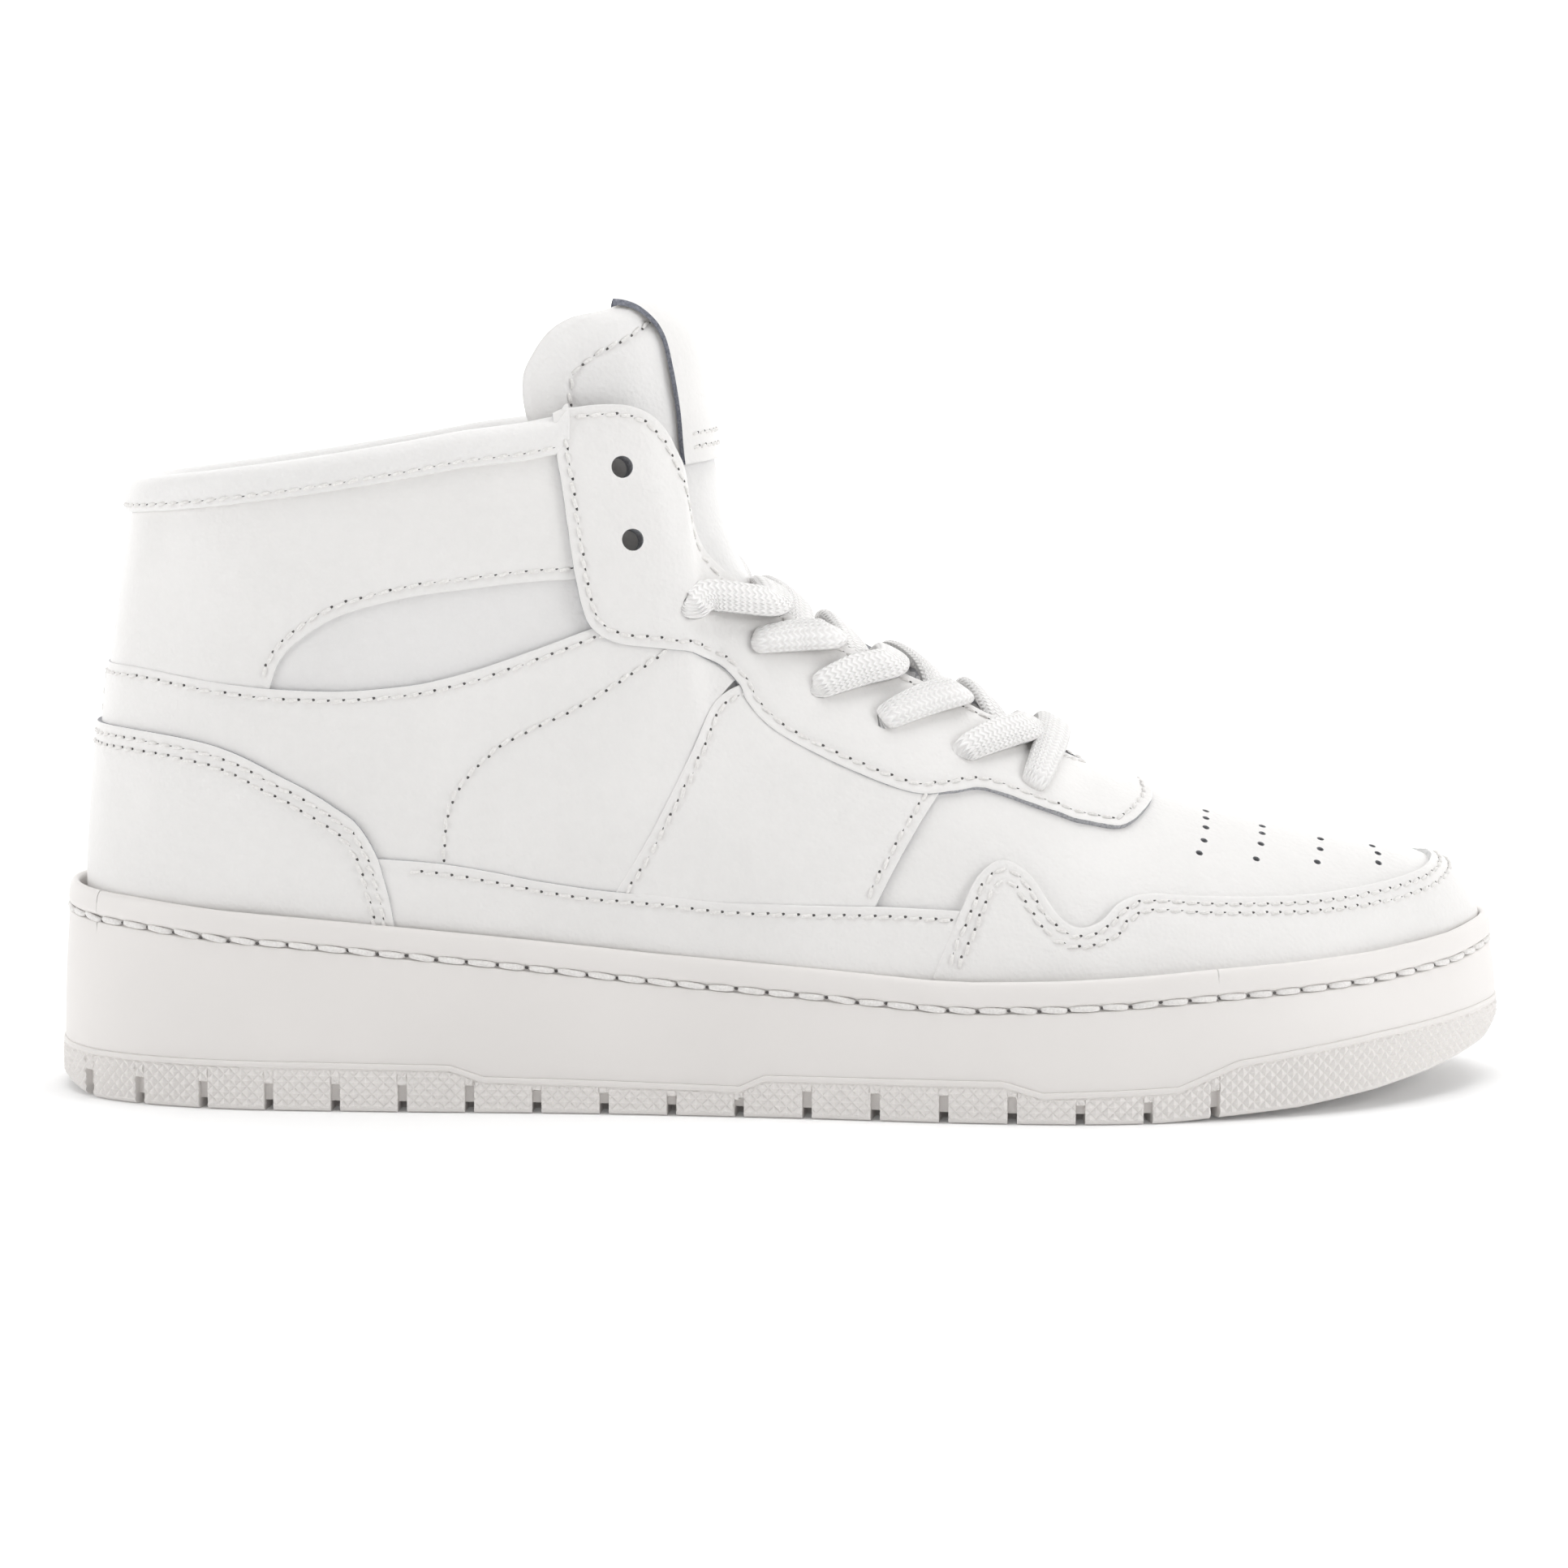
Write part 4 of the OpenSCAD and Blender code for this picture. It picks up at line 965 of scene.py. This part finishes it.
STAY_HIGH = [5.05, 5.3, 5.6, 5.9, 6.2, 6.5, 6.75, 7, 7.2, 7.4, 7.65, 7.95, 8.25, 8.6, 8.95, 9.4, 9.9,
             10.4, 10.9, 11.3, 11.65, 11.85]
TOE_TOP = [(9.93, 28.5), (10.13, 38.5), (10.2, 42), (10.34, 47.5), (10.56, 50.2), (10.84, 47.3),
           (11.17, 40.3), (11.48, 37.3), (11.82, 38.2), (12.1, 41.5), (12.45, 42.9),
           (13, 42.2), (13.8, 41.4), (14.3, 41.4), (14.85, 42.2), (15.5, 43.4), (16, 44.4), (16.6, 45.4),
           (17, 45.8)]
TOE_FOOT = [10.5, 10.52, 10.56, 10.62, 10.7, 10.85, 11.2, 11.5, 11.8, 12.15, 12.5, 13, 13.8, 14.3, 14.8,
            15.5, 16, 16.6, 17]
HEEL_FOOT = [0, 0.5, 1.2, 1.7, 2.1, 2.45, 2.7, 2.85, 2.95, 3.05, 3.12, 3.2, 3.3, 3.4]
BAND_SEW = [(6.68, 92.5), (6.14, 89.2), (5.45, 83.1), (4.86, 77.9), (4.52, 74.2), (4.31, 70.1), (4.15, 65.4),
            (4.07, 60.5), (4.05, 55.5), (4.05, 50.5)]
ROW, SECOND = 2.0, 4.1           # distance of stitch rows from an edge


def rim_v(c):
    """The collar's edge runs a little lower where it meets the eyestay."""
    a = np.abs(c)
    k = np.clip((a - 3.9) / 0.9, 0, 1)
    return 1 - 0.021 * k * k * (3 - 2 * k) * np.clip((5.12 - a) / 0.1, 0, 1)


st = np.concatenate([np.linspace(-11, -5.2, 20), np.linspace(-5.1, 5.1, 69), np.linspace(5.2, 11, 20)])
base = Panel(flat(st, FOOT_V), np.column_stack([st, rim_v(st)]), 0.0, -1.5, seen="h", skive=0.3, cols=1.5)
panel_piece("quarter_base_leather", base, LEATHER_BASE, ["quarter_base"], CUT_EDGE_AND_SHADE,
            holes=holes_at(eye_cv, (1, -1), EYE_R))

VAMP_FROM = 8.8
st = np.linspace(VAMP_FROM, 2 * NW - VAMP_FROM, 171)
vamp = Panel(flat(st, FOOT_V), flat(st, 1), LEVEL["vamp"], -1.5, seen="se", skive=0.5,
             t=np.arange(len(st), dtype=float), rows=1.6)
panel_piece("vamp_leather", vamp, LEATHER, ["vamp"], merge=0.03,
            holes=holes_at(PERFS, (1, -1), PERF_R))

collar = Panel(both_sides(at_z(COLLAR_LOW)), both_sides(flat(COLLAR_HIGH, 0.958)), LEVEL["collar"], seen="l",
               dips=(ROW,))
panel_piece("collar_leather", collar, replaces=["collar_panel"])
mid_t = len(COLLAR_LOW) - 1
collar.sew("stitches_collar", "l", ROW, mid_t + 6.3, mid_t + 12.6)
collar.sew("stitches_collar", "l", ROW, mid_t - 12.6, mid_t - 6.3)

for side, name in ((1, "lateral"), (-1, "medial")):
    band = Panel(at_z(BAND_LOW), at_z(BAND_TOP), LEVEL["band"], side=side, seen="hs", dips=(ROW,))
    panel_piece("band_" + name, band, replaces=["quarter_band_" + name], edge_mat=CUT_EDGE_AND_SHADE)
    group = "stitches_" + name
    band.sew(group, "h", ROW, 0.15, 13.5)
    band.sew(group, "s", ROW, trim=(5, 1.5))
    line = curve_through(at_z(BAND_SEW), np.linspace(0, len(BAND_SEW) - 1, 120))
    line[:, 0] *= side
    band.sew_line(group, skin(*line.T))
    # front quarter: a slanted four-sided piece
    lo = at_z([(5.69, 40.7), (6.6, 39.6), (7.5, 39), (8.4, 38.6), (9.31, 38.3)])
    hi = at_z([(8.51, 86), (8.8, 79.5), (9.3, 73), (9.75, 68), (10.09, 66.4)])
    front = Panel(lo, hi, LEVEL["quarter"], side=side, seen="se", dips=(ROW,))
    panel_piece("front_quarter_leather_" + name, front, replaces=["front_quarter_" + name],
                edge_mat=CUT_EDGE_AND_SHADE)
    front.sew(group, "s", ROW, trim=(4.6, 2.5))
    front.sew(group, "e", ROW, trim=(4.2, 2.5))
    fox = Panel(flat([3.3, 3.6, 4.05, 4.45, 5, 5.95, 7.3, 8.3, 9.1, 9.55, 10.16, 10.6], FOOT_V),
                at_z(FOXING_TOP), LEVEL["foxing"], side=side, seen="h", dips=(ROW,))
    panel_piece("foxing_leather_" + name, fox, replaces=["foxing_" + name], edge_mat=CUT_EDGE_AND_SHADE)
    fox.sew(group, "h", ROW, 1.4, 10)

heel = Panel(both_sides(flat(HEEL_FOOT, FOOT_V)), both_sides(at_z(HEEL_TOP)), LEVEL["heel"], seen="h",
             dips=(ROW, SECOND))
panel_piece("heel_leather", heel, replaces=["heel_overlay"], edge_mat=CUT_EDGE_AND_SHADE)
heel.sew("stitches_heel", "h", ROW, trim=(3, 3))
heel.sew("stitches_heel", "h", SECOND, trim=(3, 3))

toe = Panel(over_toe(flat(TOE_FOOT, FOOT_V)), over_toe(at_z(TOE_TOP)), LEVEL["toe"], seen="h",
            dips=(ROW, SECOND))
panel_piece("toe_leather", toe, replaces=["toe_overlay"])
toe.sew("stitches_toe", "h", ROW, trim=(3, 3))
toe.sew("stitches_toe", "h", SECOND, trim=(3, 3))

stay_lo = np.concatenate([at_z(STAY_LOW), [(12.82, 0.955), (12.86, 1.0)]])
stay_hi = np.concatenate([flat(STAY_HIGH, 1.0), [(11.95, 1.0), (12.0, 1.0)]])
stays = [Panel(stay_lo, stay_hi, LEVEL["stay"], side=side, seen="lhs", dips=(ROW,), fused="e", cols=1.3)
         for side in (1, -1)]
panel_piece("eyestay_leather", stays, replaces=["eyestay_lateral", "eyestay_medial"], edge_mat=CUT_EDGE_AND_SHADE,
            merge=0.03, holes=holes_at(eye_cv, (1, -1), EYE_R))
for stay, group in zip(stays, ("stitches_lateral", "stitches_medial")):
    stay.sew(group, "l", ROW, 0, len(STAY_LOW) + 0.9, trim=(1.5, 0.2))
    stay.sew(group, "h", ROW, 0.4, len(STAY_HIGH) + 0.8, trim=(0.5, 0.2))


# ---------------------------------------------------------------- lining and collar
def bell(t):
    return np.where((t > 0) & (t < 1), np.sin(np.pi * np.clip(t, 0, 1)) ** 0.7, 0)


COLLAR_PAD = 4.5


def pad(c, v):
    m = np.mod(c, 2 * NW)
    s = np.minimum(m, 2 * NW - m)
    return np.where(s > 5.6, 0, COLLAR_PAD * bell((v - 0.62) / 0.42) * np.minimum(1, (5.6 - s) / 1.5))


st = np.linspace(-NW, NW, 205)
lining = Panel(flat(st, 0.0), np.column_stack([st, rim_v(st)]), -1.6, -3.8, seen="",
               t=np.arange(len(st), dtype=float), rows=1.8, pad=pad, skive=0)
panel_piece("lining_cloth", lining, TEXTILE,
            ["lining", "collar_foam", "toe_puff", "heel_counter", "interlining_heel", "interlining_lateral",
             "interlining_medial", "interlining_toe"], TEXTILE,
            holes=holes_at(eye_cv, (1, -1), EYE_R), merge=0.03)


def collar_binding():
    """The rolled leather edge of the collar: a section swept along the top."""
    section = np.array([(-6.3, 0.8), (-6.35, 1.5), (-5.9, 2.0), (-4.2, 2.6), (-1.8, 2.5), (-0.2, 1.7),
                        (0.8, 0.2), (1.1, -1.6), (0.6, -3.8), (-0.9, -5.8), (-3.4, -7.3),
                        (-6.5, -8.1), (-7.2, -7.4)])
    k = np.linspace(0, len(section) - 1, 49)
    sec = curve_through(section, k)
    t, d = sec[:, 0], sec[:, 1]
    line = even(np.stack([np.linspace(-5.15, 5.15, 900), np.ones(900), 0 * np.ones(900)], 1), 0.02)
    cs = line[:, 0]
    e = 0.02
    length = np.linalg.norm(skin(cs, np.ones_like(cs)) - skin(cs, np.full_like(cs, 1 - e)), axis=1) / e
    up = unit(skin(cs, np.ones_like(cs)) - skin(cs, np.full_like(cs, 1 - e)))
    C = np.repeat(cs[:, None], len(t), 1)
    V = rim_v(cs)[:, None] + np.minimum(t, 0)[None] / length[:, None]
    D = np.repeat(d[None], len(cs), 0)
    thin = np.clip((5.25 - np.abs(cs)) / 0.35, 0.35, 1)[:, None]
    D = np.where(D > 0, D, D * (0.4 + 0.6 * thin))
    seam_row = 0.24 * np.exp(-((t + 5.0) / 0.8) ** 2)
    P = spot(C, V, D - seam_row[None]) + up[:, None] * np.maximum(t, 0)[None, :, None]
    P = P + (ripple(P, 1.6) * bell(np.clip((t + 6.3) / 6.6, 0, 1)))[..., None] * facing(C, V)
    nu, nv = P.shape[:2]
    i = np.arange(nu * nv).reshape(nu, nv)
    close = strip(i[:, -1], i[:, 0])
    ends = [list(i[0]), list(i[-1][::-1])]
    faces = quads(nu, nv).tolist() + close.tolist() + ends
    ob = build("collar_roll", P.reshape(-1, 3), faces, [LEATHER_SOFT],
               replaces=["collar_binding"], merge=0.001)
    j = int(np.argmin(np.abs(t[:20] + 5.0)))
    keep = np.abs(cs) < 5.0
    n = facing(C[:, j], V[:, j])
    add_stitches("stitches_collar_top", *even(P[keep, j], 0.8, n[keep]))
    j = int(np.argmin(np.abs(k - 10.4)))
    n = unit(np.cross(P[2:, j] - P[:-2, j], P[1:-1, j + 1] - P[1:-1, j - 1]))
    inside = P[1:-1, j]
    centre = np.array([-85.0, 0, inside[:, 2].mean()])
    n = n * np.sign(np.sum(n * (centre - inside), 1))[:, None]
    keep = np.abs(cs[1:-1]) < 4.9
    add_stitches("stitches_collar_top", *even(inside[keep], 0.8, n[keep]))
    return ob


roll = collar_binding()

# ---------------------------------------------------------------- tongue
# along the middle of its front: x, z, half width, bend radius
SPINE = np.array([(64, 53, 20, 30), (48, 61, 23, 29), (28, 74, 26, 28), (8.5, 87.5, 28, 24),
                  (-6, 103, 29, 20.5), (-11.8, 116.5, 34, 18.5), (-14.8, 130, 42, 20.5),
                  (-16.2, 140, 47, 22), (-17.7, 149, 47, 22), (-19.3, 155, 43, 22),
                  (-22.3, 159, 36.5, 22), (-26, 161.2, 27, 22), (-32, 162.2, 12, 22)])
TONGUE_TOP = len(SPINE) - 1.06   # where the tongue ends along that line
BEND = math.radians(78)


def spine_at(s):
    return curve_through(SPINE, np.asarray(s, float).ravel()).reshape(*np.shape(s), 4)


def tongue_spot(w, s, d):
    """A point of the tongue: share across, place along the spine, distance out of its front face."""
    w, s, d = np.broadcast_arrays(np.asarray(w, float), np.asarray(s, float), np.asarray(d, float))
    p = spine_at(s)
    q = spine_at(np.minimum(s + 0.02, len(SPINE) - 1)) - spine_at(np.maximum(s - 0.02, 0))
    t = unit(q[..., :2])
    up = np.stack([t[..., 1], -t[..., 0]], -1)
    k = np.clip((s - 4) / 3, 0, 1)[..., None]
    back = up * (1 - k) + np.array([1, 0.1]) * k
    r, a = p[..., 3], np.abs(w) * p[..., 2]
    lim = r * BEND
    g = np.minimum(a, lim) / r
    rest = np.maximum(a - lim, 0)
    y = r * np.sin(g) + rest * math.cos(BEND) + d * np.sin(g)
    dep = r * (1 - np.cos(g)) + rest * math.sin(BEND)
    return np.stack([p[..., 0] - back[..., 0] * dep + up[..., 0] * d * np.cos(g), np.sign(w) * y,
                     p[..., 1] - back[..., 1] * dep + up[..., 1] * d * np.cos(g)], -1)


MIDDLE, SEWN_IN = -3.05, 9.3     # the tongue's middle below its front, and its stitch row's inset
ROW_MID, ROW_TALL = 8.2, 4.2     # middle of that row along the spine, and its reach up and down


def tongue_half(e):
    """Half the tongue's thickness at a distance from its outline."""
    return 1.6 + 1.45 * np.clip(np.asarray(e) / 9, 0, 1) ** 0.8


def tongue():
    s = np.concatenate([np.linspace(0, 4, 24)[:-1], np.linspace(4, 8, 56)[:-1],
                        np.linspace(8, TONGUE_TOP, 110)])
    w = np.linspace(-1, 1, 121)
    w = w * (1.25 - 0.25 * w * w)
    S, W = np.meshgrid(s, w, indexing="ij")
    flat_p = tongue_spot(W, S, 0)
    outline = np.concatenate([even(flat_p[:, 0], 0.4), even(flat_p[-1], 0.4), even(flat_p[:, -1], 0.4)])
    e = far_from(flat_p, outline)
    half = tongue_half(e)
    h = half * np.sqrt(np.clip(1 - (1 - np.minimum(e / 1.9, 1)) ** 2, 0, 1))
    wave = 0.3 * np.sin(S * 2.3 + W * 2.1) + 0.2 * np.sin(W * 6.0 - S * 1.7)
    puff = 0.3 * np.exp(-((e - 5.4) / 2.2) ** 2) - 0.6 * np.exp(-((e - SEWN_IN) / 1.0) ** 2) + \
        (0.2 + wave * 0.5) * np.clip((e - 10) / 6, 0, 1)
    puff *= np.clip((S - 3.5) / 1.5, 0, 1)
    front = tongue_spot(W, S, MIDDLE + h + puff * np.minimum(1, e / 2))
    back = tongue_spot(W, S, MIDDLE - h - 0.4 * puff * np.minimum(1, e / 2))
    nu, nv = S.shape
    f, edge = shell_faces(nu, nv)
    mat = np.zeros(len(f), int)
    mat[(len(f) - edge) // 2:len(f) - edge] = 1
    ob = build("tongue_padded", np.concatenate([front.reshape(-1, 3), back.reshape(-1, 3)]), f,
               [LEATHER_SOFT, TEXTILE], mat, body=None, merge=0.002)
    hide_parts("tongue_leather", "tongue_padding", "tongue_lining", "tongue_top_leather",
                "tongue_top_padding", "tongue_top_lining")
    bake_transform(ob)
    # the stitch row that holds the padding, one distance in from the outline
    tree = BVHTree.FromPolygons(front.reshape(-1, 3).tolist(), quads(nu, nv).tolist())
    th = np.linspace(math.radians(-52), math.radians(232), 160)
    rho = np.linspace(0, 1.2, 240)
    w2 = np.cos(th)[:, None] * rho
    s2 = ROW_MID + ROW_TALL * np.sin(th)[:, None] * rho
    a = np.clip(np.searchsorted(s, s2), 0, nu - 1)
    b = np.clip(np.searchsorted(w, w2), 0, nv - 1)
    inside = (e[a, b] > SEWN_IN) & (np.abs(w2) < 1) & (s2 < s[-1])
    reach = rho[inside.shape[1] - 1 - np.argmax(inside[:, ::-1], axis=1)]
    reach = settle(reach, 14)
    line = even(tongue_spot(np.cos(th) * reach, ROW_MID + ROW_TALL * np.sin(th) * reach, 0.2), 0.8)
    hit = [tree.find_nearest(Vector(q)) for q in line]
    p, n = np.array([h[0] for h in hit]), np.array([h[1] for h in hit])
    n *= np.sign(n @ np.array([1, 0, 0.35]))[:, None]
    add_stitches("stitches_tongue", p, n)


tongue()

LABEL_HALF = 17                  # half the width of the strip down the tongue
LABEL_OFF = 0.85                 # its middle above the tongue's face
LABEL_SKIN = 0.62                # half its thickness


def label():
    """The leather strip sewn down the middle of the tongue and folded over its top."""
    top = TONGUE_TOP
    s_up = np.linspace(5.95, top, 90)
    w = np.linspace(-1, 1, 29)

    def row(s, d, wide=LABEL_HALF):
        half = spine_at(np.array([s]))[0, 2]
        return tongue_spot(w * min(wide / half, 0.8), s, d)

    tip_half = 0.8 * spine_at(np.array([top]))[0, 2]
    spine = spine_at(s_up)[:, :2]
    left = run_of(spine)[-1] - run_of(spine)
    rise = tongue_half(left) + LABEL_OFF + 0.35 * np.clip((left - 9) / 4, 0, 1)
    front = [row(a, MIDDLE + b) for a, b in zip(s_up, rise)]
    tip = row(top, MIDDLE)
    out = unit(row(top, 0) - row(top - 0.25, 0))
    up = unit(row(top, 1) - row(top, -1))
    fold = [tip + up * math.cos(g) * 2.45 + out * math.sin(g) * 2.5
            for g in np.linspace(0.3, math.pi - 0.3, 12)]
    back = [row(a, MIDDLE - tongue_half(9 * (top - a)) - LABEL_OFF, tip_half)
            for a in np.linspace(top, top - 0.9, 10)]
    mid = np.array(front + fold + back)
    nu, nv = mid.shape[:2]
    n = unit(np.cross(np.gradient(mid, axis=1), np.gradient(mid, axis=0)))
    n *= np.sign(n[5, nv // 2, 0])
    cup = 0.35 * (np.abs(w) ** 3)[None, :, None]
    a, b = mid + n * (LABEL_SKIN + cup), mid + n * (-LABEL_SKIN + cup)
    f, edge = shell_faces(nu, nv)
    mat = np.zeros(len(f), int)
    mat[-edge:] = 1
    ob = build("label_leather", np.concatenate([a.reshape(-1, 3), b.reshape(-1, 3)]), f, [LEATHER, DARK_EDGE_AND_SHADE],
               mat, body=None)
    bevel_normals(ob)
    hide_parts("tongue_label")
    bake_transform(ob)
    for r in (4, 8):
        add_stitches("stitches_label", *even(a[r, 2:-2], 0.8, n[r, 2:-2]), pitch=2.6, length=2.0, r=0.28)


label()


# ---------------------------------------------------------------- laces
LACE_W, LACE_T = 7.4, 3.0


def lace():
    """One flat braided cotton lace, laced through the six lower rows."""
    def eye(k, side, d):
        return spot(np.array([side * eye_cv[k, 0]]), eye_cv[k, 1:], np.array([d]))[0]

    def at(c, v, d):
        return spot(np.array([c]), np.array([v]), np.array([d]))[0]

    def crossing(k, side, lift):
        c, v, e = eye_cv[k, 0], eye_cv[k, 1], eye_cv[k + 1, 0]
        over = c + (0.55 if side > 0 else 0.1) + (0.85 if k == 2 else 0)
        m = at(side * (c + over) / 2, (v + 0.98) / 2, 3.5)
        a, b = at(side * over, 0.985, 3.7), at(-side * e, 0.98, -5.6)
        return [(eye(k, side, -5), 3.6), (eye(k, side, -1), 3.8), (eye(k, side, 2.6), 5.8), (m, LACE_W),
                (a, LACE_W), ((a + b) / 2 + np.array([0.5, 0, 1]) * lift, LACE_W), (b, LACE_W)]

    def half(side, lift):
        out = [(at(side * 6.5, 0.56, -6), 4), (at(side * 6.8, 0.66, -6), 6)]
        for i in range(5):
            out += crossing(2 + i, side if i % 2 == 0 else -side, lift)
        return out + [(eye(7, -side, -5), 3.6), (eye(7, -side, -1), 3.8), (eye(7, -side, 2.6), 5.8),
                      (at(-side * 11.05, 0.98, 3.6), LACE_W)]

    one, two = half(1, 3.6), half(-1, 1.8)
    mid = (one[-1][0] + two[-1][0]) / 2 + np.array([0.5, 0, 1]) * 2.2
    path = one + [(mid, LACE_W)] + two[::-1]
    pts = np.array([q[0] for q in path])
    wid = np.array([q[1] for q in path])
    n = len(pts)
    t = np.linspace(0, n - 1, (n - 1) * 24 + 1)
    line = curve_through(pts, t)
    width = np.interp(t, np.arange(n), wid)
    line, width = even(line, 0.45, width[:, None])
    width = width[:, 0]
    width = settle(width, 8)
    tang = unit(np.gradient(line, axis=0))
    o = unit(np.stack([np.full(len(line), 0.45), line[:, 1] / 26, np.full(len(line), 0.8)], 1))
    side = unit(np.cross(tang, o))
    up = unit(np.cross(side, tang))
    k = 20
    g = np.arange(k) * 2 * math.pi / k
    thick = LACE_T * np.clip(np.sqrt(LACE_W / width), 1, 1.5)
    ca, sa = np.cos(g), np.sin(g)
    cx = np.sign(ca) * np.abs(ca) ** 0.72
    cy = np.sign(sa) * np.abs(sa) ** 0.8
    P = line[:, None] + side[:, None] * (cx[None, :, None] * width[:, None, None] / 2) + \
        up[:, None] * (cy[None, :, None] * thick[:, None, None] / 2)
    run = run_of(line)
    across = np.cumsum(np.hypot(np.diff(np.append(cx, cx[0])) * LACE_W / 2,
                                np.diff(np.append(cy, cy[0])) * LACE_T / 2))
    uv = np.stack([np.repeat(run[:, None], k, 1), np.repeat(across[None], len(line), 0)], -1)
    nu = len(line)
    i = np.arange(nu * k).reshape(nu, k)
    j = np.roll(i, -1, 1)
    f = np.stack([i[:-1], j[:-1], j[1:], i[1:]], -1).reshape(-1, 4).tolist()
    f += [list(i[0]), list(i[-1][::-1])]
    build("lace_braid", P.reshape(-1, 3), f, [LACE], uv=uv.reshape(-1, 2),
          replaces=["lace"], merge=0.0005)


lace()
flush_stitches()
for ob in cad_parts.values():
    ob.data.materials.clear()
    ob.data.materials.append(TIP if ob.name == "lace_tips" else THREAD if ob.name == "sidewall_stitching"
                             else FOAM)
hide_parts("sidewall_stitching")

# ---------------------------------------------------------------- floor, light, world
FLOOR = Mat("floor", (0.93, 0.93, 0.93), 0.9, Emission_Color=(1, 1, 1, 1))
# the floor glows more away from the shoe, so that it stays white to the horizon
GLOW_NEAR, GLOW_FAR = 0.06, 0.55
GLOW_RISE, GLOW_START = 0.9, -0.2
floor_xyz = FLOOR.node("SeparateXYZ", {0: FLOOR.coord.outputs["Object"]})
apart = FLOOR.math("ABSOLUTE", FLOOR.math("ADD", floor_xyz.outputs[1], 2))
glow = FLOOR.math("MULTIPLY_ADD", apart, GLOW_RISE, GLOW_START)
glow = FLOOR.math("MINIMUM", FLOOR.math("MAXIMUM", glow, GLOW_NEAR), GLOW_FAR)
FLOOR.t.links.new(glow, FLOOR.b.inputs["Emission Strength"])
FLOOR.bump((FLOOR.noise(60, 2), 0.02, 0.1))
BACKDROP = Mat("backdrop", (0.9, 0.9, 0.9), 1.0, Emission_Color=(1, 1, 1, 1), Emission_Strength=1.0)


def stage_plane(name, mat, size, place, turn=(0, 0, 0)):
    bpy.ops.mesh.primitive_plane_add(size=size, location=place, rotation=turn)
    ob = bpy.context.object
    ob.name = name
    ob.data.materials.append(mat)


stage_plane("floor", FLOOR.mat, 14, (0, 2, 0))
stage_plane("backdrop", BACKDROP.mat, 14, (0, 4, 3), (math.radians(90), 0, 0))


def area(name, place, aim, size, power, tint=(1, 1, 1)):
    data = bpy.data.lights.new(name, "AREA")
    data.shape, data.size, data.size_y, data.energy, data.color = "RECTANGLE", size[0], size[1], power, tint
    ob = bpy.data.objects.new(name, data)
    ob.location = place
    ob.rotation_euler = (Vector(aim) - Vector(place)).to_track_quat("-Z", "Y").to_euler()
    bpy.context.scene.collection.objects.link(ob)


area("overhead", (0.1, -0.1, 1.4), (0.05, 0, 0), (1.4, 1.0), 9.8)
area("key_right", (1.15, -0.5, 0.5), (0.05, 0, 0.05), (0.6, 0.7), 6.6)
area("key_left", (-1.15, -0.45, 0.5), (-0.05, 0, 0.05), (0.6, 0.7), 5.4)
world = bpy.data.worlds.new("studio")
world.use_nodes = True
world.node_tree.nodes["Background"].inputs["Color"].default_value = (1, 1, 1, 1)
world.node_tree.nodes["Background"].inputs["Strength"].default_value = 0.31
bpy.context.scene.world = world
bpy.context.scene.view_settings.view_transform = "Standard"

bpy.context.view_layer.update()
